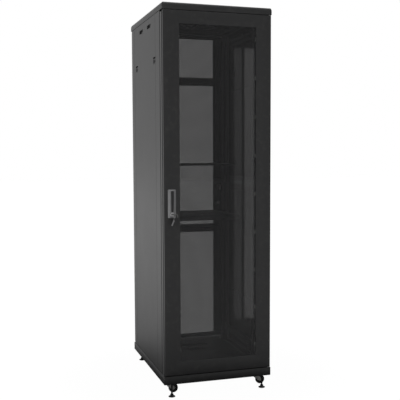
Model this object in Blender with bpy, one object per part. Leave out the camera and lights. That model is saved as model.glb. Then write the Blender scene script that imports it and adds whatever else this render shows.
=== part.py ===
"""Floor-standing 19-inch network cabinet, 42 units high, on castors and levelling feet.

Metres, +Z up. The origin is on the floor under the middle of the cabinet, and the glass door
faces -Y. The object is modelled at rest: doors shut, feet down, key in the front lock.
"""

import math

import bmesh
import bpy
from mathutils import Matrix, Vector

# Driving dimensions
WIDTH = 0.600
DEPTH = 0.800  # from the front door's face to the rear door's face
GROUND = 0.070  # underside of the base above the floor
HEIGHT = 2.055
BASE_HEIGHT = 0.045
CAP_HEIGHT = 0.035
DOOR_WIDTH = 0.590
DOOR_DEPTH = 0.022
DOOR_GAP = 0.003
SHEET = 0.0015
PLATE = 0.002
CLEAR = 0.0003  # between neighbouring solids
FRONT_REACH = 0.045  # the key stands this far proud of the front door
REAR_REACH = 0.0183  # and the rear lever this far proud of the rear door

# Planes that follow from them
HALF_WIDTH = WIDTH / 2
FRONT = -(DEPTH + FRONT_REACH + REAR_REACH) / 2 + FRONT_REACH
REAR = FRONT + DEPTH
BASE_TOP = GROUND + BASE_HEIGHT
CAP_FOOT = HEIGHT - CAP_HEIGHT
DOOR_FOOT = BASE_TOP + DOOR_GAP
DOOR_TOP = CAP_FOOT - DOOR_GAP
POST_EDGE = 0.050  # the side panels start this far from each door's face

# 19-inch rack
RAIL_OPENING = 0.451
RAIL_FACE = 0.037
RAIL_RETURN = 0.035
UNIT = 0.04445
UNITS = 42
RAIL_FOOT = 0.125
RAIL_HEIGHT = UNITS * UNIT + 0.008
FRONT_RAIL_Y = FRONT + 0.100
REAR_RAIL_Y = FRONT + 0.645

# Doors
GLASS_WIDTH = 0.420  # of the window
GLASS_FOOT = 0.192
GLASS_TOP = 1.950
GLASS_THICK = 0.005
MESH_WIDTH = 0.448
MESH_FOOT = 0.132
MESH_TOP = 2.004
HINGE_X = 0.289
HINGE_SETBACK = 0.011  # hinge axis behind the door's face
PIN_RADIUS = 0.004

# Swing handles, measured from the spindle's axis
LOCK_X = -0.2535
SPINDLE_Z = 1.083
CYLINDER_Z = 0.974
ESCUTCHEON = (0.043, 0.148)
ESCUTCHEON_THICK = 0.008
LEVER_WIDTH = 0.015
LEVER_THICK = 0.010

# Fans
FAN_RADIUS = 0.055
FAN_PITCH = 0.140
FAN_Y = 0.020
FAN_BLADES = 7

# Side panels
PANEL_THICK = 0.016
LATCH_Z = 1.775
LATCH_Y = 0.2275
LATCH_SIZE = (0.050, 0.026)
LATCH_TRAVEL = 0.008
GRIP_Y = 0.100
GRIP_Z = 1.975

# Running gear
FOOT_INSET = (0.045, 0.022)
CASTOR_INSET = (0.050, 0.092)
WHEEL_RADIUS = 0.025
WHEEL_WIDTH = 0.018
AXLE_Z = 0.0265
TRAIL = 0.020

COLOURS = {
    "black_paint": ((0.022, 0.022, 0.023), 0.45, 0.0),
    "smoked_glass": ((0.05, 0.05, 0.05), 0.05, 0.0),
    "zinc": ((0.62, 0.62, 0.60), 0.35, 1.0),
    "handle_grey": ((0.30, 0.30, 0.31), 0.35, 0.6),
    "black_plastic": ((0.015, 0.015, 0.016), 0.40, 0.0),
    "chrome": ((0.75, 0.75, 0.76), 0.15, 1.0),
    "rubber": ((0.02, 0.02, 0.02), 0.70, 0.0),
}


# Tools


def clear_scene():
    for old in list(bpy.data.objects):
        bpy.data.objects.remove(old, do_unlink=True)


def material(name):
    found = bpy.data.materials.get(name)
    if found:
        return found
    colour, roughness, metallic = COLOURS[name]
    made = bpy.data.materials.new(name)
    made.use_nodes = True
    shader = made.node_tree.nodes["Principled BSDF"]
    shader.inputs["Base Color"].default_value = (*colour, 1.0)
    shader.inputs["Roughness"].default_value = roughness
    shader.inputs["Metallic"].default_value = metallic
    return made


def add_box(bm, low, high):
    low, high = Vector(low), Vector(high)
    size = high - low
    place = Matrix.Translation((low + high) / 2) @ Matrix.Diagonal((*size, 1.0))
    bmesh.ops.create_cube(bm, size=1.0, matrix=place)


def add_cylinder(bm, radius, start, end, segments=20):
    """A cylinder between two points on a line along X, Y or Z."""
    start, end = Vector(start), Vector(end)
    turn = (end - start).to_track_quat("Z", "Y").to_matrix().to_4x4()
    place = Matrix.Translation((start + end) / 2) @ turn
    bmesh.ops.create_cone(
        bm,
        cap_ends=True,
        segments=segments,
        radius1=radius,
        radius2=radius,
        depth=(end - start).length,
        matrix=place,
    )


def add_prism(bm, outline, low, high, axis="Z"):
    """An outline extruded along Z, or along Y with the outline's second value as Z."""

    def at(point, along):
        if axis == "Z":
            return (point[0], point[1], along)
        if axis == "Y":
            return (point[0], along, point[1])
        return (along, point[0], point[1])

    face = bm.faces.new([bm.verts.new(at(point, low)) for point in outline])
    grown = bmesh.ops.extrude_face_region(bm, geom=[face])
    moved = [item for item in grown["geom"] if isinstance(item, bmesh.types.BMVert)]
    shift = Vector(at((0.0, 0.0), high - low))
    bmesh.ops.translate(bm, verts=moved, vec=shift)
    bmesh.ops.recalc_face_normals(bm, faces=bm.faces)


def mesh_of(name, shape, pivot=(0.0, 0.0, 0.0)):
    bm = bmesh.new()
    shape(bm)
    bmesh.ops.translate(bm, verts=bm.verts, vec=-Vector(pivot))
    mesh = bpy.data.meshes.new(name)
    bm.to_mesh(mesh)
    bm.free()
    return mesh


def helper(name, shape):
    """A cutter or a shape to be joined: it takes part in Booleans and isn't a piece."""
    made = bpy.data.objects.new(name, mesh_of(name, shape))
    bpy.context.scene.collection.objects.link(made)
    made.hide_render = True
    made.display_type = "WIRE"
    return made


class Body:
    """Pieces that move as one, under an empty that stands on their joint's axis."""

    def __init__(self, name, pivot=(0.0, 0.0, 0.0), parent=None):
        self.pivot = Vector(pivot)
        self.empty = bpy.data.objects.new(f"body_{name}", None)
        bpy.context.scene.collection.objects.link(self.empty)
        self.empty.location = self.pivot - (parent.pivot if parent else Vector())
        self.empty.parent = parent.empty if parent else None

    def piece(self, name, finish, shape, cut=(), join=(), round_over=0.0, smooth=False):
        """One solid: shape draws it, join and cut hold further shapes, in world coordinates."""
        made = bpy.data.objects.new(name, mesh_of(name, shape, self.pivot))
        bpy.context.scene.collection.objects.link(made)
        made.parent = self.empty
        made.data.materials.append(material(finish))
        for operation, shapes in (("UNION", join), ("DIFFERENCE", cut)):
            for index, other in enumerate(shapes):
                boolean = made.modifiers.new(f"{operation.lower()}_{index}", "BOOLEAN")
                boolean.operation = operation
                boolean.object = helper(f"{name}_{operation.lower()}_{index}", other)
        if round_over:
            bevel = made.modifiers.new("rounded_edges", "BEVEL")
            bevel.width = round_over
            bevel.segments = 2
            bevel.angle_limit = math.radians(40)
        if smooth:
            made.data.shade_smooth()
            made.data.set_sharp_from_angle(angle=math.radians(35))
        return made


def box_shape(low, high):
    return lambda bm: add_box(bm, low, high)


def cylinder_shape(radius, start, end, segments=20):
    return lambda bm: add_cylinder(bm, radius, start, end, segments)


# Structure


def castor_centre(side, end):
    y = FRONT + CASTOR_INSET[1] if end < 0 else REAR - CASTOR_INSET[1]
    return side * (HALF_WIDTH - CASTOR_INSET[0]), y


def foot_centre(side, end):
    y = FRONT + FOOT_INSET[1] if end < 0 else REAR - FOOT_INSET[1]
    return side * (HALF_WIDTH - FOOT_INSET[0]), y


CORNERS = [(side, end) for end in (-1, 1) for side in (-1, 1)]


def corner_name(side, end):
    return f"{'front' if end < 0 else 'rear'}_{'left' if side < 0 else 'right'}"


def build_base(cabinet):
    setback = 0.003
    flange = 0.062
    front, rear = FRONT + setback, REAR - setback
    hollow = box_shape(
        (-HALF_WIDTH + PLATE, front + PLATE, GROUND + PLATE),
        (HALF_WIDTH - PLATE, rear - PLATE, BASE_TOP - PLATE),
    )
    middle = box_shape(
        (-HALF_WIDTH + flange, front + flange * 2, GROUND - 0.02),
        (HALF_WIDTH - flange, rear - flange * 2, BASE_TOP + 0.02),
    )
    holes = [
        cylinder_shape(0.0062, (x, y, GROUND - 0.01), (x, y, GROUND + 0.01), 12)
        for x, y in (foot_centre(*corner) for corner in CORNERS)
    ]
    plate_half = 0.028
    plates = [
        box_shape(
            (x - plate_half, y - plate_half, GROUND - 0.0028),
            (x + plate_half, y + plate_half, GROUND + 0.001),
        )
        for x, y in (castor_centre(*corner) for corner in CORNERS)
    ]
    outer = box_shape((-HALF_WIDTH, front, GROUND), (HALF_WIDTH, rear, BASE_TOP))
    cabinet.piece("base_frame", "black_paint", outer, cut=[middle, hollow, *holes], join=plates)

    floor_z = BASE_TOP + CLEAR
    reach = 0.2575
    slot = box_shape((-0.100, 0.160, floor_z - 0.01), (0.100, 0.250, floor_z + 0.01))
    cabinet.piece(
        "floor_plate",
        "black_paint",
        box_shape((-reach, FRONT + 0.054, floor_z), (reach, REAR - 0.054, floor_z + SHEET)),
        cut=[slot],
    )


def build_top(cabinet):
    ring_foot = 2.010
    ring_top = HEIGHT - SHEET - CLEAR
    front, rear = FRONT + 0.026, REAR - 0.026
    half = HALF_WIDTH - PANEL_THICK - 0.0005
    band = 0.055
    cabinet.piece(
        "top_frame",
        "black_paint",
        box_shape((-half, front, ring_foot), (half, rear, ring_top)),
        cut=[
            box_shape(
                (-half + band, front + band, ring_foot - 0.1),
                (half - band, rear - band, ring_top + 0.1),
            ),
            box_shape(
                (-half + PLATE, front + PLATE, ring_foot + PLATE),
                (half - PLATE, rear - PLATE, ring_top + 0.1),
            ),
        ],
    )
    cap = cabinet.piece(
        "top_cover",
        "black_paint",
        box_shape((-HALF_WIDTH, FRONT, CAP_FOOT), (HALF_WIDTH, REAR, HEIGHT)),
        smooth=True,
    )
    corner = cap.modifiers.new("rounded_edges", "BEVEL")
    corner.width = 0.007
    corner.segments = 3
    corner.limit_method = "WEIGHT"
    weigh_upper_edges(cap)
    inside = helper(
        "top_cover_inside",
        box_shape(
            (-HALF_WIDTH + SHEET, FRONT + SHEET, CAP_FOOT - 0.01),
            (HALF_WIDTH - SHEET, REAR - SHEET, HEIGHT - SHEET),
        ),
    )
    inside_round = inside.modifiers.new("rounded_edges", "BEVEL")
    inside_round.width = 0.0058
    inside_round.segments = 3
    inside_round.limit_method = "WEIGHT"
    weigh_upper_edges(inside)
    hollow = cap.modifiers.new("hollow", "BOOLEAN")
    hollow.object = inside
    for index, (x, y) in enumerate(fan_centres()):
        hole = helper(f"fan_hole_{index}", cylinder_shape(FAN_RADIUS + 0.002, (x, y, 2.0), (x, y, 2.1), 28))
        opening = cap.modifiers.new(f"fan_hole_{index}", "BOOLEAN")
        opening.object = hole


def weigh_upper_edges(obj):
    """Marks a box's upright edges and its top edges for its Bevel."""
    mesh = obj.data
    top = max(vertex.co.z for vertex in mesh.vertices)
    weight = mesh.attributes.new("bevel_weight_edge", "FLOAT", "EDGE")
    for edge in mesh.edges:
        ends = [mesh.vertices[index].co.z for index in edge.vertices]
        weight.data[edge.index].value = 1.0 if max(ends) == top else 0.0


def build_posts(cabinet):
    """A folded profile in each corner: a face behind the door, the visible edge, a return."""
    face, lip = 0.036, 0.030
    outer_x = HALF_WIDTH - 0.002
    first = DOOR_DEPTH + 0.0025
    last = POST_EDGE - 0.0005
    for side, end in CORNERS:
        base = FRONT if end < 0 else REAR

        def place(x_in, y_in):
            return side * (outer_x - x_in), base - end * y_in

        outline = [
            place(face, first),
            place(0, first),
            place(0, last),
            place(lip, last),
            place(lip, last - PLATE),
            place(PLATE, last - PLATE),
            place(PLATE, first + PLATE),
            place(face, first + PLATE),
        ]
        cabinet.piece(
            f"corner_post_{corner_name(side, end)}",
            "black_paint",
            lambda bm, points=outline: add_prism(bm, points, BASE_TOP + CLEAR, 2.010 - CLEAR),
        )


def build_rails(cabinet):
    """Plain folded uprights; their square holes are finish work."""
    inner = RAIL_OPENING / 2
    for side, end in CORNERS:
        y = FRONT_RAIL_Y if end < 0 else REAR_RAIL_Y

        def place(x_out, y_in):
            return side * (inner + x_out), y - end * y_in

        outline = [
            place(0, 0),
            place(RAIL_FACE, 0),
            place(RAIL_FACE, RAIL_RETURN),
            place(RAIL_FACE - PLATE, RAIL_RETURN),
            place(RAIL_FACE - PLATE, PLATE),
            place(0, PLATE),
        ]
        cabinet.piece(
            f"rack_rail_{corner_name(side, end)}",
            "black_paint",
            lambda bm, points=outline: add_prism(bm, points, RAIL_FOOT, RAIL_FOOT + RAIL_HEIGHT),
        )


BRACE_HEIGHTS = {"lower": 0.195, "middle": 1.130, "upper": 1.945}


def build_braces(cabinet):
    """Bars from front to rear that carry the rack rails, bolted to the posts' returns."""
    inner = RAIL_OPENING / 2 + RAIL_FACE + CLEAR
    half_height = 0.020
    flange = 0.012
    start, end = FRONT + POST_EDGE, REAR - POST_EDGE
    for side, word in ((-1, "left"), (1, "right")):
        for level, z in BRACE_HEIGHTS.items():
            outline = [
                (side * inner, z - half_height),
                (side * (inner + PLATE), z - half_height),
                (side * (inner + PLATE), z + half_height - PLATE),
                (side * (inner + flange), z + half_height - PLATE),
                (side * (inner + flange), z + half_height),
                (side * inner, z + half_height),
            ]
            cabinet.piece(
                f"depth_brace_{word}_{level}",
                "black_paint",
                lambda bm, points=outline: add_prism(bm, points, start, end, axis="Y"),
            )


SHELVES = {"upper": (1.228, 0.350, 0.010), "lower": (0.936, 0.300, 0.027)}


def build_shelves(cabinet):
    """Folded trays, open below, with ears behind the rear rack rails."""
    half = RAIL_OPENING / 2 - 0.003
    ear_y = REAR_RAIL_Y + CLEAR
    ear_reach = half + 0.034
    for word, (top, start, lip) in SHELVES.items():
        front, rear = FRONT + start, FRONT + 0.700
        ears = [
            box_shape(
                (min(side * (half - 0.0013), side * ear_reach), ear_y, top - 0.044),
                (max(side * (half - 0.0013), side * ear_reach), ear_y + PLATE, top - 0.0005),
            )
            for side in (-1, 1)
        ]
        cabinet.piece(
            f"shelf_{word}",
            "black_paint",
            box_shape((-half, front, top - lip), (half, rear, top)),
            join=ears,
            cut=[
                box_shape(
                    (-half + SHEET, front + SHEET, top - 0.1),
                    (half - SHEET, rear - SHEET, top - SHEET),
                )
            ],
        )


# Cooling and cable entry


def fan_centres():
    return [(x * FAN_PITCH / 2, FAN_Y + y * FAN_PITCH / 2) for y in (-1, 1) for x in (-1, 1)]


FAN_TOP = 2.0520
FAN_DEPTH = 0.034


def build_fans(cabinet):
    half = 0.139
    foot = FAN_TOP - FAN_DEPTH
    cabinet.piece(
        "fan_tray",
        "black_plastic",
        box_shape((-half, FAN_Y - half, foot), (half, FAN_Y + half, FAN_TOP)),
        cut=[
            cylinder_shape(FAN_RADIUS + 0.002, (x, y, foot - 0.1), (x, y, FAN_TOP + 0.1), 28)
            for x, y in fan_centres()
        ],
    )
    for index, (x, y) in enumerate(fan_centres(), 1):
        rotor = Body(f"fan_{index}", (x, y, FAN_TOP - FAN_DEPTH / 2), cabinet)
        rotor.piece(
            f"fan_rotor_{index}",
            "black_plastic",
            cylinder_shape(0.020, (x, y, foot + 0.004), (x, y, FAN_TOP - 0.005), 20),
            join=[fan_blade(x, y, blade) for blade in range(FAN_BLADES)],
        )


def fan_blade(x, y, number):
    """A flat blade pitched at 35 degrees, from inside the hub to just short of the housing."""

    def shape(bm):
        bmesh.ops.create_cube(bm, size=1.0, matrix=Matrix.Diagonal((0.036, 0.024, 0.0016, 1.0)))
        bmesh.ops.rotate(bm, verts=bm.verts, matrix=Matrix.Rotation(math.radians(35), 3, "X"))
        bmesh.ops.translate(bm, verts=bm.verts, vec=(0.035, 0.0, FAN_TOP - FAN_DEPTH / 2))
        turn = Matrix.Rotation(2 * math.pi * number / FAN_BLADES, 3, "Z")
        bmesh.ops.rotate(bm, verts=bm.verts, matrix=turn)
        bmesh.ops.translate(bm, verts=bm.verts, vec=(x, y, 0.0))

    return shape


def build_cable_entry(cabinet):
    z = BASE_TOP + CLEAR + SHEET + CLEAR
    slide = Body("cable_entry", (0.0, 0.140, z), cabinet)
    slide.piece(
        "cable_entry_slide",
        "black_paint",
        box_shape((-0.115, 0.100, z), (0.115, 0.205, z + SHEET)),
        join=[box_shape((-0.030, 0.100, z), (0.030, 0.100 + PLATE, z + 0.012))],
    )


# Doors


def door_parts(end):
    """Body and sign for a door: the rear door is the front one turned half a turn about Z."""
    face = FRONT if end < 0 else REAR
    return face, -end


def half_turn(point, end):
    """A point given for a door whose face looks along -Y, at the door that it belongs to."""
    x, inward, z = point
    face, sign = door_parts(end)
    return sign * x, face + sign * inward, z


def door_box(end, low, high):
    """A box given by x, depth behind the door's face and z, for either door."""
    a, b = Vector(half_turn(low, end)), Vector(half_turn(high, end))
    return box_shape([min(pair) for pair in zip(a, b)], [max(pair) for pair in zip(a, b)])


def door_cylinder(end, radius, start, finish, segments=20):
    return cylinder_shape(radius, half_turn(start, end), half_turn(finish, end), segments)


def door_pan(door, end, name, window):
    """A folded sheet with a window, open at the back, and holes for the hinge pins."""
    half = DOOR_WIDTH / 2
    half_window, foot, top = window
    pins = [
        door_cylinder(
            end,
            PIN_RADIUS + 0.0003,
            (HINGE_X, HINGE_SETBACK, z - 0.006),
            (HINGE_X, HINGE_SETBACK, z + 0.006),
            16,
        )
        for z in (DOOR_FOOT, DOOR_TOP)
    ]
    lock_holes = [
        door_cylinder(end, radius, (LOCK_X, -0.01, z), (LOCK_X, 0.01, z), 20)
        for radius, z in ((0.0065, SPINDLE_Z), (0.0100, CYLINDER_Z))
    ]
    return door.piece(
        name,
        "black_paint",
        door_box(end, (-half, 0.0, DOOR_FOOT), (half, DOOR_DEPTH, DOOR_TOP)),
        cut=[
            door_box(end, (-half + SHEET, SHEET, DOOR_FOOT + SHEET), (half - SHEET, 0.1, DOOR_TOP - SHEET)),
            door_box(end, (-half_window, -0.1, foot), (half_window, 0.1, top)),
            *pins,
            *lock_holes,
        ],
    )


def hinge_pins(cabinet, end, word):
    for level, low, high in (
        ("lower", BASE_TOP + CLEAR, DOOR_FOOT + 0.009),
        ("upper", DOOR_TOP - 0.009, CAP_FOOT - CLEAR),
    ):
        cabinet.piece(
            f"{word}_hinge_pin_{level}",
            "zinc",
            door_cylinder(end, PIN_RADIUS, (HINGE_X, HINGE_SETBACK, low), (HINGE_X, HINGE_SETBACK, high), 16),
            smooth=True,
        )


def escutcheon(door, end, word):
    """The handle's grey housing, with chamfered cheeks and holes for spindle and cylinder."""
    half_width, half_height = ESCUTCHEON[0] / 2, ESCUTCHEON[1] / 2
    middle = (SPINDLE_Z + CYLINDER_Z) / 2
    door.piece(
        f"{word}_escutcheon",
        "handle_grey",
        door_box(
            end,
            (LOCK_X - half_width, -ESCUTCHEON_THICK, middle - half_height),
            (LOCK_X + half_width, -CLEAR, middle + half_height),
        ),
        cut=[
            door_cylinder(end, 0.0065, (LOCK_X, -0.02, SPINDLE_Z), (LOCK_X, 0.02, SPINDLE_Z), 20),
            door_cylinder(end, 0.0100, (LOCK_X, -0.02, CYLINDER_Z), (LOCK_X, 0.02, CYLINDER_Z), 20),
        ],
        round_over=0.0018,
    )


def lever_shapes(end):
    """The grip in front of the housing, from above the spindle down to the lock cylinder."""
    near = -ESCUTCHEON_THICK - CLEAR
    foot, head = CYLINDER_Z + 0.0125, SPINDLE_Z + 0.012
    return door_box(
        end,
        (LOCK_X - LEVER_WIDTH / 2, near - LEVER_THICK, foot),
        (LOCK_X + LEVER_WIDTH / 2, near, head),
    )


def cam_shapes(end, front_end):
    """The spindle through the door and its tongue, which hangs beside the post and holds nothing shut."""
    tongue_near = DOOR_DEPTH + 0.0025 + PLATE + 0.003
    spindle = door_cylinder(
        end, 0.006, (LOCK_X, front_end, SPINDLE_Z), (LOCK_X, tongue_near + 0.004, SPINDLE_Z), 20
    )
    tongue = door_box(
        end,
        (LOCK_X - 0.0065, tongue_near, SPINDLE_Z - 0.026),
        (LOCK_X + 0.0065, tongue_near + 0.003, SPINDLE_Z + 0.0065),
    )
    return spindle, tongue


def build_front_door(cabinet):
    end = -1
    door = Body("front_door", half_turn((HINGE_X, HINGE_SETBACK, 0.0), end), cabinet)
    door_pan(door, end, "front_door_frame", (GLASS_WIDTH / 2, GLASS_FOOT, GLASS_TOP))
    lap = 0.012
    near = SHEET + CLEAR
    door.piece(
        "front_door_glass",
        "smoked_glass",
        door_box(
            end,
            (-GLASS_WIDTH / 2 - lap, near, GLASS_FOOT - lap),
            (GLASS_WIDTH / 2 + lap, near + GLASS_THICK, GLASS_TOP + lap),
        ),
    )
    hinge_pins(cabinet, end, "front")
    escutcheon(door, end, "front")

    spindle = Body("front_spindle", half_turn((LOCK_X, 0.0, SPINDLE_Z), end), door)
    shaft, tongue = cam_shapes(end, -ESCUTCHEON_THICK + 0.001)
    spindle.piece("front_cam", "zinc", shaft, join=[tongue])
    lift_y = -ESCUTCHEON_THICK - LEVER_THICK
    lever = Body("front_lever", half_turn((LOCK_X, lift_y, SPINDLE_Z + 0.012), end), spindle)
    lever.piece("front_lever", "black_plastic", lever_shapes(end), round_over=0.0015)

    barrel = Body("front_lock", half_turn((LOCK_X, 0.0, CYLINDER_Z), end), door)
    keyway_depth = 0.012
    barrel.piece(
        "front_lock_cylinder",
        "chrome",
        door_cylinder(
            end,
            0.0095,
            (LOCK_X, -ESCUTCHEON_THICK - 0.003, CYLINDER_Z),
            (LOCK_X, 0.016, CYLINDER_Z),
            24,
        ),
        cut=[
            door_box(
                end,
                (LOCK_X - 0.0045, -0.03, CYLINDER_Z - 0.0013),
                (LOCK_X + 0.0045, -ESCUTCHEON_THICK - 0.003 + keyway_depth, CYLINDER_Z + 0.0013),
            )
        ],
    )
    build_keys(barrel, end)


def build_keys(barrel, end):
    """The key in the lock, lying flat, and the ring that hangs over the rim of its head."""
    bow_near, bow_far = -0.024, -FRONT_REACH
    bow_half, bow_thick = 0.0115, 0.0016
    slot = (LOCK_X - 0.006, LOCK_X + 0.0085)
    ring_y = (bow_near + bow_far) / 2 - 0.004
    barrel.piece(
        "front_key",
        "black_plastic",
        door_box(
            end,
            (LOCK_X - bow_half, bow_far, CYLINDER_Z - bow_thick),
            (LOCK_X + bow_half, bow_near, CYLINDER_Z + bow_thick),
        ),
        join=[
            door_box(
                end,
                (LOCK_X - 0.0040, bow_near - 0.002, CYLINDER_Z - 0.0009),
                (LOCK_X + 0.0040, -0.001, CYLINDER_Z + 0.0009),
            )
        ],
        cut=[
            door_box(
                end,
                (slot[0], ring_y - 0.0035, CYLINDER_Z - 0.01),
                (slot[1], ring_y + 0.0035, CYLINDER_Z + 0.01),
            )
        ],
    )
    ring_radius, wire = 0.011, 0.0008
    ring_x, ring_z = LOCK_X + bow_half - 0.001, CYLINDER_Z - 0.0072
    centre = Vector(half_turn((ring_x, ring_y, ring_z), end))
    bunch = Body("key_bunch", half_turn((ring_x, ring_y, ring_z + ring_radius - wire), end), barrel)

    def ring(bm):
        """A wire ring that stands in the XZ plane, one leg through the key's slot."""
        turns, sides = 28, 6
        rings = []
        for step in range(turns):
            around = 2 * math.pi * step / turns
            out = Vector((math.cos(around), 0.0, math.sin(around)))
            rings.append([])
            for side in range(sides):
                corner = 2 * math.pi * side / sides
                place = out * (ring_radius + wire * math.cos(corner))
                place += Vector((0.0, wire * math.sin(corner), 0.0))
                rings[-1].append(bm.verts.new(centre + place))
        for step in range(turns):
            here, after = rings[step], rings[(step + 1) % turns]
            for side in range(sides):
                beyond = (side + 1) % sides
                bm.faces.new((here[side], here[beyond], after[beyond], after[side]))
        bmesh.ops.recalc_face_normals(bm, faces=bm.faces)

    def hanging(degrees, width, length, thick):
        """A flat tag on the ring's rim, tilted about the ring's centre."""

        def shape(bm):
            top = -ring_radius + 0.003
            add_box(bm, (-width / 2, -thick / 2, top - length), (width / 2, thick / 2, top))
            bmesh.ops.rotate(bm, verts=bm.verts, matrix=Matrix.Rotation(-math.radians(degrees), 3, "Y"))
            bmesh.ops.translate(bm, verts=bm.verts, vec=centre)

        return shape

    bunch.piece(
        "key_bunch",
        "black_plastic",
        ring,
        join=[hanging(13, 0.025, 0.044, 0.0035), hanging(-22, 0.008, 0.046, 0.0022)],
    )


def build_rear_door(cabinet):
    end = 1
    door = Body("rear_door", half_turn((HINGE_X, HINGE_SETBACK, 0.0), end), cabinet)
    pan = door_pan(door, end, "rear_door_frame", (MESH_WIDTH / 2, MESH_FOOT, MESH_TOP))
    reach = MESH_WIDTH / 2 + 0.02
    bar_half = 0.021
    for index, z in enumerate((0.817, 1.733)):
        bar = helper(
            f"stiffener_{index}",
            door_box(
                end,
                (-reach, SHEET + CLEAR + SHEET + CLEAR, z - bar_half),
                (reach, 0.0155, z + bar_half),
            ),
        )
        tabs = helper(
            f"stiffener_tabs_{index}",
            lambda bm, height=z: [
                door_box(
                    end,
                    (side * reach - 0.004, 0.0008, height - bar_half),
                    (side * reach + 0.004, 0.0155, height + bar_half),
                )(bm)
                for side in (-1, 1)
            ],
        )
        for word, other in (("stiffener", bar), ("tabs", tabs)):
            joined = pan.modifiers.new(f"{word}_{index}", "BOOLEAN")
            joined.operation = "UNION"
            joined.object = other
    lap = 0.010
    near = SHEET + CLEAR
    door.piece(
        "rear_door_mesh",
        "black_paint",
        door_box(
            end,
            (-MESH_WIDTH / 2 - lap, near, MESH_FOOT - lap),
            (MESH_WIDTH / 2 + lap, near + SHEET, MESH_TOP + 0.008),
        ),
    )
    hinge_pins(cabinet, end, "rear")
    escutcheon(door, end, "rear")
    spindle = Body("rear_lever", half_turn((LOCK_X, 0.0, SPINDLE_Z), end), door)
    shaft, tongue = cam_shapes(end, -ESCUTCHEON_THICK - 0.002)
    spindle.piece("rear_lever", "black_plastic", lever_shapes(end), join=[shaft, tongue])


# Side panels



def build_side_panels(cabinet):
    """Folded panels that lift off, each held by two sliding latches."""
    middle = (FRONT + REAR) / 2
    start, end = FRONT + POST_EDGE + 0.0005, REAR - POST_EDGE - 0.0005
    foot, top = BASE_TOP + 0.0015, CAP_FOOT - 0.0015
    for side, word in ((-1, "left"), (1, "right")):
        outer, inner = side * HALF_WIDTH, side * (HALF_WIDTH - PANEL_THICK)
        panel = Body(f"{word}_side_panel", (outer, middle, foot), cabinet)

        def slab(y_low, y_high, z_low, z_high, x_from, x_to):
            return box_shape((min(x_from, x_to), y_low, z_low), (max(x_from, x_to), y_high, z_high))

        clear_x, clear_z = 0.001, 0.001
        slots = [
            slab(
                middle + place - LATCH_SIZE[0] / 2 - clear_x,
                middle + place + LATCH_SIZE[0] / 2 + clear_x,
                LATCH_Z - LATCH_SIZE[1] / 2 - clear_z,
                LATCH_Z + LATCH_SIZE[1] / 2 + clear_z + LATCH_TRAVEL,
                outer + side * 0.01,
                inner,
            )
            for place in (-LATCH_Y, LATCH_Y)
        ]
        grips = [
            slab(
                middle + place - 0.045,
                middle + place + 0.045,
                GRIP_Z - 0.010,
                GRIP_Z + 0.010,
                outer + side * 0.01,
                inner,
            )
            for place in (-GRIP_Y, GRIP_Y)
        ]
        shell = outer - side * SHEET
        panel.piece(
            f"side_panel_{word}",
            "black_paint",
            slab(start, end, foot, top, outer, inner),
            cut=[
                slab(start + SHEET, end - SHEET, foot + SHEET, top - SHEET, shell, inner - side * 0.01),
                *slots,
                *grips,
            ],
        )
        for place, where in ((-LATCH_Y, "front"), (LATCH_Y, "rear")):
            y = middle + place
            latch = Body(f"{word}_latch_{where}", (outer, y, LATCH_Z), panel)
            latch.piece(
                f"side_latch_{word}_{where}",
                "black_plastic",
                slab(
                    y - LATCH_SIZE[0] / 2,
                    y + LATCH_SIZE[0] / 2,
                    LATCH_Z - LATCH_SIZE[1] / 2,
                    LATCH_Z + LATCH_SIZE[1] / 2,
                    outer,
                    outer - side * 0.012,
                ),
                round_over=0.0008,
            )


# Running gear


def build_castors(cabinet):
    """Swivelling castors, all four standing with the wheel to the right of the swivel."""
    fork_top = GROUND - 0.0028 - CLEAR
    cheek = 0.002
    cheek_in = WHEEL_WIDTH / 2 + 0.001
    cheek_out = cheek_in + cheek
    for corner in CORNERS:
        x, y = castor_centre(*corner)
        wheel_x = x + TRAIL
        back, front = wheel_x - 0.0435, wheel_x + 0.010
        name = corner_name(*corner)
        swivel = Body(f"castor_{name}", (x, y, fork_top), cabinet)
        arms = [
            box_shape((back, y + near, AXLE_Z - 0.008), (front, y + far, fork_top - 0.006))
            for near, far in ((-cheek_out, -cheek_in), (cheek_in, cheek_out))
        ]
        bridge = box_shape((back, y - cheek_out, fork_top - 0.0085), (front, y + cheek_out, fork_top - 0.006))
        reach = cheek_out + 0.003
        axle = cylinder_shape(0.004, (wheel_x, y - reach, AXLE_Z), (wheel_x, y + reach, AXLE_Z), 16)
        swivel.piece(
            f"castor_fork_{name}",
            "zinc",
            cylinder_shape(0.0235, (x, y, fork_top - 0.0075), (x, y, fork_top), 28),
            join=[bridge, *arms, axle],
        )
        wheel = Body(f"castor_wheel_{name}", (wheel_x, y, AXLE_Z), swivel)
        half = WHEEL_WIDTH / 2
        wheel.piece(
            f"castor_wheel_{name}",
            "rubber",
            cylinder_shape(WHEEL_RADIUS, (wheel_x, y - half, AXLE_Z), (wheel_x, y + half, AXLE_Z), 32),
            cut=[cylinder_shape(0.0043, (wheel_x, y - 0.02, AXLE_Z), (wheel_x, y + 0.02, AXLE_Z), 16)],
            round_over=0.002,
            smooth=True,
        )


def build_feet(cabinet):
    pad_radius, pad_height = 0.018, 0.008
    for corner in CORNERS:
        x, y = foot_centre(*corner)
        name = corner_name(*corner)
        foot = Body(f"foot_{name}", (x, y, 0.0), cabinet)
        foot.piece(
            f"levelling_foot_{name}",
            "zinc",
            cylinder_shape(pad_radius, (x, y, 0.0), (x, y, pad_height), 28),
            join=[
                cylinder_shape(0.005, (x, y, pad_height - 0.002), (x, y, 0.106), 12),
                cylinder_shape(0.010, (x, y, pad_height - 0.001), (x, y, pad_height + 0.008), 6),
            ],
        )


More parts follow.
